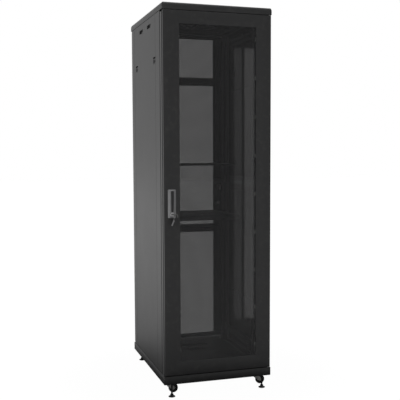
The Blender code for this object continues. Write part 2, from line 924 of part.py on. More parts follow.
def main():
    clear_scene()
    cabinet = Body("cabinet")
    build_base(cabinet)
    build_top(cabinet)
    build_posts(cabinet)
    build_rails(cabinet)
    build_braces(cabinet)
    build_shelves(cabinet)
    build_fans(cabinet)
    build_cable_entry(cabinet)
    build_front_door(cabinet)
    build_rear_door(cabinet)
    build_side_panels(cabinet)
    build_castors(cabinet)
    build_feet(cabinet)


main()
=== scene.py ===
"""Visual model of a floor-standing 19-inch network cabinet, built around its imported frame.

Every piece takes its place from the frame's own parts, in metres. A piece is drawn in the
coordinates of the side it belongs to: across, up, and depth behind that side's face.
"""

import math

import bmesh
import bpy
from mathutils import Matrix, Vector


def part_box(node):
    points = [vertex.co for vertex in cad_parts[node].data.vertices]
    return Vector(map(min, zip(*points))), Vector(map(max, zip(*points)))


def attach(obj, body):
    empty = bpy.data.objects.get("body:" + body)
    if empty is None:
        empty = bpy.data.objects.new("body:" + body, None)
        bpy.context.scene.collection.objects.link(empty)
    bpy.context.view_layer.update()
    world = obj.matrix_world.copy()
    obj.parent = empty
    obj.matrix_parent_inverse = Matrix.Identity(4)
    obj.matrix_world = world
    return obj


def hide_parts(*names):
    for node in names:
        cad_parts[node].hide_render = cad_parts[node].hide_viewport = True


bl_info = {
    "name": "Network Cabinet", "version": (1, 0, 0), "blender": (4, 5, 0),
    "location": "View3D > Sidebar > Cabinet",
    "description": "Builds the finished pieces, materials, lights and camera of a network cabinet",
    "category": "Object"
}

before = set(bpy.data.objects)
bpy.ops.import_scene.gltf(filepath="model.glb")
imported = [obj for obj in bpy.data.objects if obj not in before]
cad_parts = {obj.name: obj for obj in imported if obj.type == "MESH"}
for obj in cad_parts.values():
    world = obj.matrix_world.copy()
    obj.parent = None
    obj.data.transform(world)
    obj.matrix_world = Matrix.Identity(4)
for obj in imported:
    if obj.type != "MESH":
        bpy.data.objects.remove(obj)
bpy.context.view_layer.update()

# Planes and sizes that the frame gives

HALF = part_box("top_cover")[1].x
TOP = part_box("top_cover")[1].z
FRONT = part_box("front_door_frame")[0].y
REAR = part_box("rear_door_frame")[1].y
DOOR_LOW, DOOR_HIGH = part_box("front_door_frame")
DOOR_HALF = DOOR_HIGH.x
DOOR_FOOT, DOOR_TOP = DOOR_LOW.z, DOOR_HIGH.z
DOOR_SPREAD = (-DOOR_HALF, DOOR_HALF, DOOR_FOOT, DOOR_TOP)
DOOR_DEPTH = DOOR_HIGH.y - FRONT
BASE_LOW, BASE_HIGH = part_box("base_frame")
SHEET = 0.0015
LOCK_X = sum(end.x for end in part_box("front_lock_cylinder")) / 2
CYLINDER_Z = sum(end.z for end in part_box("front_lock_cylinder")) / 2
HANDLE_LOW, HANDLE_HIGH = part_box("front_escutcheon")
LEVER_LOW, LEVER_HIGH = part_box("front_lever")
SPINDLE_Z = LEVER_HIGH.z - 0.012
HINGE_X = sum(end.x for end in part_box("front_hinge_pin_lower")) / 2
CORNERS = [(side, end) for end in (-1, 1) for side in (-1, 1)]


def corner_name(side, end):
    return f"{'front' if end < 0 else 'rear'}_{'left' if side < 0 else 'right'}"


# Where a side's own coordinates land: across, up (or along), depth behind the face


def on_front(across, up, depth):
    return (across, FRONT + depth, up)


def on_rear(across, up, depth):
    return (-across, REAR - depth, up)


def on_left(along, up, depth):
    return (-HALF + depth, along, up)


def on_right(along, up, depth):
    return (HALF - depth, along, up)


def on_top(across, along, depth):
    return (across, along, TOP - depth)


def upright(across, along, height):
    return (across, along, height)


def underside(across, along, depth):
    return (across, along, -depth)


# Shapes


def linked(name, data):
    """A new object in the scene."""
    made = bpy.data.objects.new(name, data)
    bpy.context.scene.collection.objects.link(made)
    return made


def evaluated(obj):
    """A plain mesh of the object with its modifiers applied."""
    depsgraph = bpy.context.evaluated_depsgraph_get()
    return bpy.data.meshes.new_from_object(obj.evaluated_get(depsgraph), depsgraph=depsgraph)


def outline(low_u, high_u, low_v, high_v, radius, steps=3):
    """A rectangle with rounded corners, as points."""
    radius = max(radius, 0.00005)
    points = []
    for turn, (u, v) in enumerate([
        (high_u - radius, high_v - radius), (low_u + radius, high_v - radius),
        (low_u + radius, low_v + radius), (high_u - radius, low_v + radius)
    ]):
        for step in range(steps + 1):
            angle = math.pi / 2 * (turn + step / steps)
            points.append((u + radius * math.cos(angle), v + radius * math.sin(angle)))
    return points


def circle(centre, radius, sides, start=0.0):
    turns = [start + 2 * math.pi * step / sides for step in range(sides)]
    return [(centre[0] + radius * math.cos(turn), centre[1] + radius * math.sin(turn)) for turn in turns]


def at_depth(points, depth):
    return [(u, v, depth) for u, v in points]


def ring(spread, inset, corner, depth, steps=3):
    """A rectangle drawn in from its spread (low and high across, low and high up), at a depth."""
    low_u, high_u, low_v, high_v = spread
    points = outline(low_u + inset, high_u - inset, low_v + inset, high_v - inset, corner, steps)
    return at_depth(points, depth)


def level_spread(box):
    """A box's low and high across and along."""
    return (box[0].x, box[1].x, box[0].y, box[1].y)


def middle_of(box):
    """A box's middle, seen from above."""
    return ((box[0].x + box[1].x) / 2, (box[0].y + box[1].y) / 2)


def soft_ends(low, high, edge, steps):
    """Depths and insets that round a block's two ends over."""
    turns = quarter(steps)
    near = [(low + edge * (1 - math.cos(turn)), edge * (1 - math.sin(turn))) for turn in turns]
    return near + [(low + high - depth, inset) for depth, inset in reversed(near)]


def quarter(steps):
    """Angles that part a right angle, from nothing to all of it."""
    return [math.pi / 2 * step / steps for step in range(steps + 1)]


class Shape:
    """Corners and faces of one piece, gathered part by part, each part of one finish."""

    def __init__(self, place=upright):
        self.place = place
        self.corners = []
        self.faces = []
        self.kinds = []

    def add(self, corners, faces, kind=0):
        start = len(self.corners)
        self.corners += [self.place(*corner) for corner in corners]
        self.faces += [tuple(start + index for index in face) for face in faces]
        self.kinds += [kind] * len(faces)

    def loft(self, rings, closed=False, capped=True, kind=0):
        """Skins rings of equal count. A closed loft joins the last ring to the first."""
        count = len(rings[0])
        faces = []
        for step in range(len(rings) if closed else len(rings) - 1):
            here, after = step * count, (step + 1) % len(rings) * count
            for index in range(count):
                beyond = (index + 1) % count
                faces.append((here + index, here + beyond, after + beyond, after + index))
        if capped and not closed:
            faces.append(tuple(range(count)))
            faces.append(tuple((len(rings) - 1) * count + index for index in range(count)))
        self.add([corner for ring in rings for corner in ring], faces, kind)

    def block(self, low, high, edge=0.0006, corner=None, steps=2, kind=0):
        """A box with rounded edges, and rounder corners across where corner is given."""
        corner = edge if corner is None else corner
        spread = (low[0], high[0], low[1], high[1])
        ends = soft_ends(low[2], high[2], edge, steps)
        self.loft(
            [ring(spread, inset, corner - inset, depth, max(steps, 3)) for depth, inset in ends], kind=kind
        )

    def turned(self, centre, profile, sides=24, kind=0, start=0.0):
        """A lathe-turned part about the depth axis: profile is (radius, depth) pairs."""
        self.loft(
            [at_depth(circle(centre, radius, sides, start), depth) for radius, depth in profile], kind=kind
        )

    def wire(self, path, radius, sides=8, closed=False, kind=0):
        """A round wire along a path of points."""
        points = [Vector(point) for point in path]
        rings = []
        for index, point in enumerate(points):
            if closed:
                before, after = points[index - 1], points[(index + 1) % len(points)]
            else:
                before, after = points[max(index - 1, 0)], points[min(index + 1, len(points) - 1)]
            turn = (after - before).to_track_quat("Z", "Y")
            rings.append(
                [tuple(point + turn @ Vector((u, v, 0.0))) for u, v in circle((0, 0), radius, sides)]
            )
        self.loft(rings, closed=closed, kind=kind)

    def prism(self, points, low, high, kind=0):
        self.loft([at_depth(points, low), at_depth(points, high)], kind=kind)

    def crosswise(self, section, low, high, kind=0):
        """A section of (up, depth) points drawn out across."""
        self.loft([[(at, up, depth) for up, depth in section] for at in (low, high)], kind=kind)

    def lengthwise(self, section, low, high, kind=0):
        """A section of (across, depth) points drawn out upwards."""
        self.loft([[(u, at, depth) for u, depth in section] for at in (low, high)], kind=kind)

    def take(self, mesh, kind=0):
        """Takes over a mesh that a pattern has made."""
        corners = [tuple(vertex.co) for vertex in mesh.vertices]
        self.add(corners, [tuple(face.vertices) for face in mesh.polygons], kind)
        bpy.data.meshes.remove(mesh)

    def mesh(self, name, finishes=()):
        made = bpy.data.meshes.new(name)
        made.from_pydata(self.corners, [], self.faces)
        for finish in finishes:
            made.materials.append(finish)
        for face, kind in zip(made.polygons, self.kinds):
            face.material_index = kind
        bm = bmesh.new()
        bm.from_mesh(made)
        bmesh.ops.remove_doubles(bm, verts=bm.verts, dist=0.000002)
        bmesh.ops.recalc_face_normals(bm, faces=bm.faces)
        bm.to_mesh(made)
        bm.free()
        return made


def soften(obj, degrees=32):
    obj.data.shade_smooth()
    obj.data.set_sharp_from_angle(angle=math.radians(degrees))


def piece(name, shape, finishes, body="cabinet", replaced=(), slot="", cuts=(), degrees=32):
    """Makes the piece, cuts its openings, hangs it on its body's empty and hides the frame's parts that it
    replaces.
    """
    names = [finishes] if isinstance(finishes, str) else finishes
    made = linked(name, shape.mesh(name, [finish_of(each) for each in names]))
    for cut in cuts:
        carve(made, cut)
    soften(made, degrees)
    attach(made, body)
    if replaced:
        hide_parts(*replaced)


def finished(node, ending, shape, finishes, body="cabinet", **others):
    """A piece that stands for the frame's part of that name."""
    piece(f"{node}_{ending}", shape, finishes, body, [node], **others)


def carve(obj, cutter):
    """Cuts a shape out of an object and applies the cut."""
    tool = linked("cutter", cutter.mesh("cutter"))
    cut = obj.modifiers.new("opening", "BOOLEAN")
    cut.operation = "DIFFERENCE"
    cut.solver = "EXACT"
    cut.use_self = True
    cut.object = tool
    result = evaluated(obj)
    obj.modifiers.remove(cut)
    obj.data = result
    bpy.data.objects.remove(tool)


# Node trees


class Wire:
    """One socket of a node tree. Sums on it add Math nodes to the tree."""

    def __init__(self, sheet, socket):
        self.sheet = sheet
        self.socket = socket

    def math(self, operation, first, second=0.5):
        return self.sheet.node("ShaderNodeMath", {"operation": operation}, {0: first, 1: second})

    def __add__(self, other):
        return self.math("ADD", self, other)

    def __sub__(self, other):
        return self.math("SUBTRACT", self, other)

    def __rsub__(self, other):
        return self.math("SUBTRACT", other, self)

    def __mul__(self, other):
        return self.math("MULTIPLY", self, other)

    def __truediv__(self, other):
        return self.math("DIVIDE", self, other)

    def __mod__(self, other):
        return self.math("MODULO", self, other)

    __radd__ = __add__
    __rmul__ = __mul__

    def between(self, low, high, smooth=False):
        """This value taken from the range low..high to 0..1."""
        settings = {"interpolation_type": "SMOOTHSTEP" if smooth else "LINEAR", "clamp": True}
        return self.sheet.node(
            "ShaderNodeMapRange", settings, {"Value": self, "From Min": low, "From Max": high}
        )


class Sheet:
    """A node tree that is written as expressions."""

    def __init__(self, tree):
        self.tree = tree

    def node(self, kind, settings=(), inputs=(), output=0):
        made = self.tree.nodes.new(kind)
        for key, value in dict(settings).items():
            if key == "stops":
                self.stops(made.color_ramp, value)
            else:
                setattr(made, key, value)
        for key, value in dict(inputs).items():
            self.feed(made.inputs[key], value)
        return Wire(self, made.outputs[output])

    def feed(self, socket, value):
        if isinstance(value, Wire):
            self.tree.links.new(value.socket, socket)
        else:
            socket.default_value = value

    @staticmethod
    def stops(ramp, stops):
        for index, (position, level) in enumerate(stops):
            stop = ramp.elements[index] if index < 2 else ramp.elements.new(position)
            stop.position = position
            stop.color = (level, level, level, 1.0)


class Pattern(Sheet):
    """A Geometry Nodes tree. Its sizes are named inputs, given when it is grown into a mesh."""

    def __init__(self, name, inputs):
        super().__init__(bpy.data.node_groups.new(name, "GeometryNodeTree"))
        face = self.tree.interface
        face.new_socket("Geometry", in_out="INPUT", socket_type="NodeSocketGeometry")
        for key, kind in inputs.items():
            face.new_socket(key, in_out="INPUT", socket_type=f"NodeSocket{kind}")
        face.new_socket("Material", in_out="INPUT", socket_type="NodeSocketMaterial")
        face.new_socket("Geometry", in_out="OUTPUT", socket_type="NodeSocketGeometry")
        self.given = self.tree.nodes.new("NodeGroupInput")

    def __getitem__(self, key):
        return Wire(self, self.given.outputs[key])

    def copies(self, points, instance, **others):
        return self.node(
            "GeometryNodeInstanceOnPoints", (), {"Points": points, "Instance": instance, **others}
        )

    def finish(self, geometry):
        solid = self.node("GeometryNodeRealizeInstances", (), {0: geometry})
        painted = self.node("GeometryNodeSetMaterial", (), {0: solid, "Material": self["Material"]})
        self.feed(self.tree.nodes.new("NodeGroupOutput").inputs[0], painted)
        return self

    def grow(self, values, finish, points=()):
        """The mesh that the tree gives for these values, on these points if it needs any."""
        start = bpy.data.meshes.new("pattern")
        start.from_pydata([tuple(point) for point in points], [], [])
        holder = linked("pattern", start)
        modifier = holder.modifiers.new("pattern", "NODES")
        modifier.node_group = self.tree
        given = {**values, "Material": finish_of(finish)}
        for item in self.tree.interface.items_tree:
            if item.in_out == "INPUT" and item.name in given:
                modifier[item.identifier] = given[item.name]
        mesh = evaluated(holder)
        bpy.data.objects.remove(holder)
        for value in values.values():
            if isinstance(value, bpy.types.Object):
                bpy.data.objects.remove(value)
        return mesh


def tile_object(shape):
    """A repeated element, out of the render, for a pattern to copy."""
    made = bpy.data.objects.new("tile", bpy.data.meshes.new("tile"))
    made.data.from_pydata(shape.corners, [], shape.faces)
    return made


def field_pattern():
    """Copies a tile over rows and columns. Every other row may be shifted, as in a honeycomb."""
    sizes = {
        "Columns": "Int", "Rows": "Int", "Column Pitch": "Float", "Row Pitch": "Float", "Row Shift": "Float",
        "Tile": "Object"
    }
    made = Pattern("Field", sizes)
    spread = {
        "Size X": (made["Columns"] - 1) * made["Column Pitch"],
        "Size Y": (made["Rows"] - 1) * made["Row Pitch"], "Vertices X": made["Columns"],
        "Vertices Y": made["Rows"]
    }
    points = made.node("GeometryNodeMeshGrid", (), spread)
    row = made.node("GeometryNodeInputIndex") % made["Rows"]
    corner = {"X": (row % 2) * made["Row Shift"] + spread["Size X"] * 0.5, "Y": spread["Size Y"] * 0.5}
    shift = made.node("ShaderNodeCombineXYZ", (), corner)
    moved = made.node("GeometryNodeSetPosition", (), {"Geometry": points, "Offset": shift})
    tile = made.node("GeometryNodeObjectInfo", (), {"Object": made["Tile"]}, "Geometry")
    copies = made.copies(moved, tile)
    solid = made.node("GeometryNodeRealizeInstances", (), {0: copies})
    welded = made.node("GeometryNodeMergeByDistance", (), {"Geometry": solid, "Distance": 0.00002})
    return made.finish(welded)


def scatter_pattern():
    """Copies a tile to given points, each turned by its own angle about the depth axis."""
    made = Pattern("Fixings", {"Tile": "Object", "Most Turn": "Float", "Seed": "Int"})
    tile = made.node("GeometryNodeObjectInfo", (), {"Object": made["Tile"]}, "Geometry")
    turn = made.node(
        "FunctionNodeRandomValue", {"data_type": "FLOAT"},
        {2: 0.0, 3: made["Most Turn"], "Seed": made["Seed"]}, 1
    )
    about = made.node("ShaderNodeCombineXYZ", (), {"Z": turn})
    return made.finish(made.copies(made["Geometry"], tile, Rotation=about))


def guard_pattern():
    """Wire rings about a centre, crossed by ribs."""
    made = Pattern("Fan Guard", {"Rings": "Int", "Ribs": "Int", "Radius": "Float", "Wire": "Float"})
    index = made.node("GeometryNodeInputIndex")
    wire = made.node("GeometryNodeCurvePrimitiveCircle", (), {"Resolution": 6, "Radius": made["Wire"]})
    hoop = made.node("GeometryNodeCurvePrimitiveCircle", (), {"Resolution": 40, "Radius": 1.0})
    ring_points = made.node("GeometryNodeMeshLine", (), {"Count": made["Rings"], "Offset": (0.0, 0.0, 0.0)})
    reach = (index + 1) / made["Rings"] * made["Radius"]
    size = made.node("ShaderNodeCombineXYZ", (), {"X": reach, "Y": reach, "Z": 1.0})
    rings = made.copies(ring_points, hoop, Scale=size)
    end = made.node("ShaderNodeCombineXYZ", (), {"X": made["Radius"]})
    rib = made.node("GeometryNodeCurvePrimitiveLine", (), {"End": end})
    rib_points = made.node("GeometryNodeMeshLine", (), {"Count": made["Ribs"], "Offset": (0.0, 0.0, 0.0)})
    turn = made.node("ShaderNodeCombineXYZ", (), {"Z": (index + 0.5) / made["Ribs"] * (2 * math.pi)})
    ribs = made.copies(rib_points, rib, Rotation=turn)
    both = made.node("GeometryNodeJoinGeometry", (), {0: rings})
    made.tree.links.new(ribs.socket, both.socket.node.inputs[0])
    lines = made.node("GeometryNodeRealizeInstances", (), {0: both})
    body = made.node(
        "GeometryNodeCurveToMesh", (), {"Curve": lines, "Profile Curve": wire, "Fill Caps": True}
    )
    return made.finish(body)


PATTERNS = {}


def pattern(name):
    """Each tree is built once, when it is first wanted."""
    if name not in PATTERNS:
        PATTERNS[name] = {"field": field_pattern, "scatter": scatter_pattern, "guard": guard_pattern}[name]()
    return PATTERNS[name]


# Finishes


class Finish(Sheet):
    """A material. Its shader's constant values are set on its sockets, the rest is wired."""

    def __init__(self, name, colour, roughness, metallic=0.0, **others):
        self.material = bpy.data.materials.new(name)
        self.material.use_nodes = True
        super().__init__(self.material.node_tree)
        self.shader = self.tree.nodes["Principled BSDF"]
        self.give("Base Color", (*colour[:3], 1.0))
        self.give("Roughness", roughness)
        self.give("Metallic", metallic)
        for key, value in others.items():
            self.give(key.replace("_", " "), value)
        self.spot = self.node("ShaderNodeTexCoord", (), (), "Object")

    def give(self, key, value):
        self.feed(self.shader.inputs[key], value)

    def noise(self, scale, detail=2.0, stretch=None, rough=0.5):
        place = self.spot
        if stretch:
            place = self.node("ShaderNodeMapping", (), {"Vector": place, "Scale": stretch})
        inputs = {"Vector": place, "Scale": scale, "Detail": detail, "Roughness": rough}
        return self.node("ShaderNodeTexNoise", (), inputs, "Fac")

    def cells(self, scale):
        """Distance from the middle of each random cell."""
        inputs = {"Vector": self.spot, "Scale": scale}
        return self.node("ShaderNodeTexVoronoi", {"feature": "F1"}, inputs, "Distance")

    def mix(self, share, first, second):
        """Blends two colours."""
        inputs = {0: share, 6: first, 7: second}
        return self.node("ShaderNodeMix", {"data_type": "RGBA", "clamp_factor": True}, inputs, 2)

    def bump(self, height, strength, distance):
        inputs = {"Height": height, "Strength": strength, "Distance": distance}
        self.give("Normal", self.node("ShaderNodeBump", (), inputs))

    def edges(self, radius):
        """1 on a sharp edge, 0 on a flat face."""
        rounded = self.node("ShaderNodeBevel", {"samples": 3}, {"Radius": radius})
        flat = self.node("ShaderNodeNewGeometry", (), (), "Normal")
        along = self.node(
            "ShaderNodeVectorMath", {"operation": "DOT_PRODUCT"}, {0: rounded, 1: flat}, "Value"
        )
        return (1 - along).between(0.02, 0.25)


def toned(colour, share):
    """A colour made lighter or darker, with its fourth value."""
    return (*(min(1.0, level * share) for level in colour[:3]), 1.0)


def powder_coat(name, colour, roughness, worn=0.5):
    """Textured powder coat: a fine orange peel, faint patches, dust and rubbed edges."""
    made = Finish(name, colour, roughness, Specular_IOR_Level=0.5)
    patches = made.noise(5.0, 4.0)
    grain = made.noise(1100.0, 2.0)
    peel = made.noise(420.0, 3.0)
    dust = made.noise(38.0, 6.0, rough=0.65).between(0.52, 0.8)
    rubbed = made.edges(0.0012) * made.noise(60.0, 4.0).between(0.45, 0.62) * worn
    base = made.mix(patches.between(0.3, 0.7), toned(colour, 0.93), toned(colour, 1.07))
    speckled = made.mix(grain.between(0.62, 0.74) * 0.35, base, toned(colour, 2.2))
    dusty = made.mix(dust * 0.06, speckled, (0.3, 0.29, 0.27, 1.0))
    made.give("Base Color", made.mix(rubbed, dusty, toned(colour, 3.2)))
    made.give("Roughness", roughness - 0.04 + patches * 0.06 + grain * 0.04 + dust * 0.05 - rubbed * 0.08)
    made.bump(grain * 0.6 + peel, 0.22, 0.00012)
    return made


def smoked_glass(name, colour, roughness):
    """Toughened glass, tinted through, with a trace of dust and wiping marks."""
    made = Finish(name, colour, roughness, IOR=1.5, Specular_IOR_Level=0.5)
    wiped = made.noise(7.0, 5.0, (1.0, 1.0, 0.25), 0.6)
    specks = made.noise(520.0, 2.0).between(0.7, 0.8)
    made.give("Base Color", made.mix(specks * 0.12, colour, (0.25, 0.25, 0.25, 1.0)))
    made.give("Roughness", wiped.between(0.3, 0.8) * 0.03 + roughness + specks * 0.2)
    made.give("Alpha", wiped.between(0.35, 0.8) * 0.012 + specks * 0.03 + colour[3])
    made.bump(made.noise(2.2, 2.0), 0.04, 0.0004)
    return made


def zinc_plate(name, colour, roughness):
    """Bright zinc plate with a rolled grain and dull spots."""
    made = Finish(name, colour, roughness, 0.55)
    rolled = made.noise(160.0, 3.0, (1.0, 0.15, 1.0))
    spangle = made.cells(150.0)
    dull = made.noise(24.0, 4.0).between(0.45, 0.75)
    tone = made.mix(spangle.between(0.1, 0.9), toned(colour, 0.86), toned(colour, 1.1))
    made.give("Base Color", made.mix(dull * 0.45, tone, toned(colour, 0.55)))
    made.give("Roughness", rolled * 0.12 + dull * 0.18 + (roughness - 0.08))
    made.bump(rolled + spangle * 0.3, 0.1, 0.0001)
    return made


def die_casting(name, colour, roughness):
    """Satin lacquer on a zinc casting: a fine sandblasted grain, brighter on its edges."""
    made = Finish(name, colour, roughness, 0.25, Coat_Weight=0.15, Coat_Roughness=0.25)
    blasted = made.noise(1600.0, 2.0)
    flow = made.noise(45.0, 3.0)
    rubbed = made.edges(0.001) * made.noise(200.0, 3.0).between(0.35, 0.65)
    tone = made.mix(flow.between(0.3, 0.7), toned(colour, 0.92), toned(colour, 1.08))
    made.give("Base Color", made.mix(rubbed * 0.5, tone, toned(colour, 1.7)))
    made.give("Roughness", roughness - 0.05 + blasted * 0.1 + flow * 0.05)
    made.bump(blasted, 0.15, 0.00008)
    return made


def moulded_plastic(name, colour, roughness):
    """Glass-filled nylon with a spark-eroded grain and a light polish where hands rub it."""
    made = Finish(name, colour, roughness)
    grain = made.noise(1900.0, 2.0)
    cells = made.cells(900.0)
    handled = made.noise(30.0, 3.0).between(0.45, 0.7)
    rubbed = made.edges(0.001) * made.noise(140.0, 3.0).between(0.4, 0.7)
    tone = made.mix(grain.between(0.4, 0.7), toned(colour, 0.85), toned(colour, 1.2))
    made.give("Base Color", made.mix(rubbed * 0.4, tone, toned(colour, 2.8)))
    made.give("Roughness", cells * 0.12 - handled * 0.08 + (roughness - 0.02))
    made.bump(cells + grain * 0.4, 0.25, 0.00012)
    return made


def polished_chrome(name, colour, roughness):
    """Turned and plated metal: fine rings of tool marks and faint fingerprints."""
    made = Finish(name, colour, roughness, 1.0)
    marks = made.noise(700.0, 2.0)
    prints = made.noise(90.0, 4.0).between(0.5, 0.75)
    made.give("Base Color", made.mix(prints * 0.3, toned(colour, 1.0), toned(colour, 0.75)))
    made.give("Roughness", marks * 0.08 + prints * 0.15 + roughness)
    made.bump(marks, 0.05, 0.00005)
    return made


def moulded_rubber(name, colour, roughness):
    """Matt rubber, with floor dust worked into its grain."""
    made = Finish(name, colour, roughness, Specular_IOR_Level=0.35)
    grain = made.noise(800.0, 3.0)
    dust = made.noise(70.0, 5.0).between(0.45, 0.8)
    made.give("Base Color", made.mix(dust * 0.35, toned(colour, 1.0), (0.16, 0.155, 0.145, 1.0)))
    made.give("Roughness", grain * 0.15 + dust * 0.05 + (roughness - 0.06))
    made.bump(grain, 0.3, 0.0002)
    return made


FINISHES = {}


def finish_of(name):
    """Each finish is made once, from the colours in the panel."""
    if name in FINISHES:
        return FINISHES[name]
    colours = bpy.context.scene.cabinet_colours
    makers = {
        "black_paint": (powder_coat, colours.paint, colours.paint_roughness),
        # The base's paint is a darker copy of the outer paint: painted shade, standing in for the shade low
        # on the cabinet.
        "base_paint": (powder_coat, colours.base_paint, colours.paint_roughness),
        # The inside paint is a lighter copy of the outer paint: painted light, standing in for the light
        # that reaches inside the cabinet.
        "inner_paint": (powder_coat, colours.inner_paint, colours.inner_roughness),
        # The rail paint is a still lighter copy of the outer paint: painted light, which shows the front
        # rails as a lit band behind the glass.
        "rail_paint": (powder_coat, colours.rail_paint, colours.inner_roughness),
        "smoked_glass": (smoked_glass, colours.glass, 0.02), "zinc": (zinc_plate, colours.zinc, 0.34),
        "dark_steel": (zinc_plate, colours.dark_steel, 0.45),
        "handle_grey": (die_casting, colours.handle, 0.38),
        "black_plastic": (moulded_plastic, colours.plastic, 0.42),
        "chrome": (polished_chrome, colours.chrome, 0.14), "rubber": (moulded_rubber, colours.rubber, 0.78)
    }
    maker, colour, roughness = makers[name]
    FINISHES[name] = maker(name, tuple(colour), roughness).material
    return FINISHES[name]


# What a user may change


def choice(kind, **settings):
    """A maker of panel properties of one kind."""

    def made(name, description, default):
        return kind(name=name, description=description, default=default, **settings)

    return made


colour_choice = choice(bpy.props.FloatVectorProperty, size=3, min=0.0, max=1.0, subtype="COLOR")
tint_choice = choice(bpy.props.FloatVectorProperty, size=4, min=0.0, max=1.0, subtype="COLOR")
length_choice = choice(bpy.props.FloatProperty, min=0.0, unit="LENGTH", precision=4)
share_choice = choice(bpy.props.FloatProperty, min=0.0, max=1.0, subtype="FACTOR")


class CabinetColours(bpy.types.PropertyGroup):
    """Colours and gloss of the cabinet's finishes."""

    paint: colour_choice("Paint", "Powder coat on the doors, panels and cap", (0.0198, 0.0198, 0.0204))
    paint_roughness: share_choice("Paint Roughness", "How matt the outer powder coat is", 0.42)
    # Base Paint is a darker copy of the outer paint: painted shade, standing in for the shade low on the
    # cabinet.
    base_paint: colour_choice("Base Paint", "Powder coat on the base frame", (0.015, 0.015, 0.0155))
    # Inner Paint is a lighter copy of the outer paint: painted light, standing in for the light that reaches
    # inside the cabinet.
    inner_paint: colour_choice("Inner Paint", "Powder coat on the frame inside", (0.06, 0.06, 0.061))
    # Rail Paint is a still lighter copy of the outer paint: painted light, which shows the front rails as a
    # lit band behind the glass.
    rail_paint: colour_choice("Rail Paint", "Powder coat on the rack rails", (0.12, 0.12, 0.122))
    inner_roughness: share_choice("Inner Roughness", "How matt the inner powder coat is", 0.4)
    glass: tint_choice(
        "Glass", "Tint of the door's glass; the last value is how much it holds back",
        (0.028, 0.028, 0.029, 0.42)
    )
    zinc: colour_choice("Zinc", "Plated castors, feet, pins and screws", (0.6, 0.6, 0.58))
    dark_steel: colour_choice("Dark Steel", "Blackened studs of the levelling feet", (0.05, 0.05, 0.052))
    handle: colour_choice("Handle", "Lacquered handle housings", (0.23, 0.23, 0.235))
    plastic: colour_choice("Plastic", "Moulded levers, latches, fans and key heads", (0.014, 0.014, 0.015))
    chrome: colour_choice("Chrome", "Lock cylinder and key ring", (0.74, 0.74, 0.75))
    rubber: colour_choice("Rubber", "Wheel treads and seals", (0.022, 0.022, 0.022))


class CabinetSizes(bpy.types.PropertyGroup):
    """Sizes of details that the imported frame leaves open."""

    fold: length_choice("Fold Radius", "Outer radius of the doors' and panels' folded edges", 0.003)
    mesh_pitch: length_choice("Mesh Pitch", "Distance between holes in the rear door", 0.0075)
    mesh_hole: length_choice("Mesh Hole", "Width of a hole in the rear door across its flats", 0.0034)
    rail_hole: length_choice("Rail Hole", "Side of a square hole in a rack rail", 0.0095)
    rack_unit: length_choice("Rack Unit", "Height of one unit on the rack rails", 0.04445)
    guard_rings: bpy.props.IntProperty(
        name="Guard Rings", description="Wire rings in each fan guard", default=5, min=1, max=12
    )
    fan_blades: bpy.props.IntProperty(
        name="Fan Blades", description="Blades of each fan", default=7, min=3, max=13
    )


# Repeated elements


def in_turn(points):
    """Points sorted by their angle about the middle."""
    return sorted(points, key=lambda point: math.atan2(point[1], point[0]) % (2 * math.pi))


def pan_screw(head=0.0045, height=0.0022):
    """A pan-head screw with a cross recess, its head towards the viewer at depth 0."""
    made = Shape()
    cross = []
    for turn in range(4):
        angle = math.pi / 2 * turn
        for reach, off in ((0.12, 0.12), (0.55, 0.1), (0.55, -0.1)):
            u = math.cos(angle) * reach + math.sin(angle) * off
            v = math.sin(angle) * reach - math.cos(angle) * off
            cross.append((head * u, head * v))
    rim = circle((0, 0), head, 12, math.radians(-12))
    crown = circle((0, 0), head * 0.6, 12, math.radians(-12))
    levels = [
        at_depth([(u * part, v * part) for u, v in rim], -height * drop)
        for part, drop in ((1.0, 0.0), (0.97, 0.45), (0.72, 0.9))
    ]
    made.loft([*levels, at_depth(crown, -height)], capped=False)
    inner = in_turn(cross)
    rim_in = in_turn(crown)
    made.loft(
        [at_depth(rim_in, -height), at_depth(inner, -height), at_depth(inner, -height * 0.35)], capped=False
    )
    made.add(at_depth(inner, -height * 0.35), [tuple(range(12))])
    made.add(at_depth(rim, 0.0), [tuple(range(12))])
    return made


def hex_bolt(across=0.01, height=0.004):
    """A hexagon head on a washer."""
    made = Shape()
    made.turned((0, 0), [(across * 0.72, 0.0), (across * 0.72, -0.001), (across * 0.6, -0.0012)], 16)
    made.turned(
        (0, 0), [(across * 0.577, -0.001), (across * 0.577, -height + 0.0004), (across * 0.48, -height)], 6
    )
    return made


def hexagon(across, turn=math.pi / 6):
    return circle((0, 0), across / math.sqrt(3), 6, turn)


def pierced(outer, inner, near, far):
    """One cell of a perforated sheet, open on its outer side where the next cell joins."""
    made = Shape()
    rings = [at_depth(outer, near), at_depth(inner, near), at_depth(inner, far), at_depth(outer, far)]
    made.loft(rings, capped=False)
    return made


def grid_cell(across, up, open_cells, near, far):
    """A plate ruled into cells, some of them left open, with walls round each opening."""
    made = Shape()
    open_cells = set(open_cells)
    columns, rows = len(across) - 1, len(up) - 1

    def solid(column, row):
        return 0 <= column < columns and 0 <= row < rows and (column, row) not in open_cells

    for column in range(columns):
        for row in range(rows):
            if not solid(column, row):
                continue
            u, v = across[column : column + 2], up[row : row + 2]
            corners = [(u[0], v[0]), (u[1], v[0]), (u[1], v[1]), (u[0], v[1])]
            made.add(at_depth(corners, near), [(0, 1, 2, 3)])
            made.add(at_depth(corners, far), [(3, 2, 1, 0)])
            beside = [(column, row - 1), (column + 1, row), (column, row + 1), (column - 1, row)]
            for index, other in enumerate(beside):
                if solid(*other) or not (0 <= other[1] < rows):
                    continue
                ends = corners[index], corners[(index + 1) % 4]
                wall = [(*ends[0], near), (*ends[0], far), (*ends[1], far), (*ends[1], near)]
                made.add(wall, [(0, 1, 2, 3)])
    return made


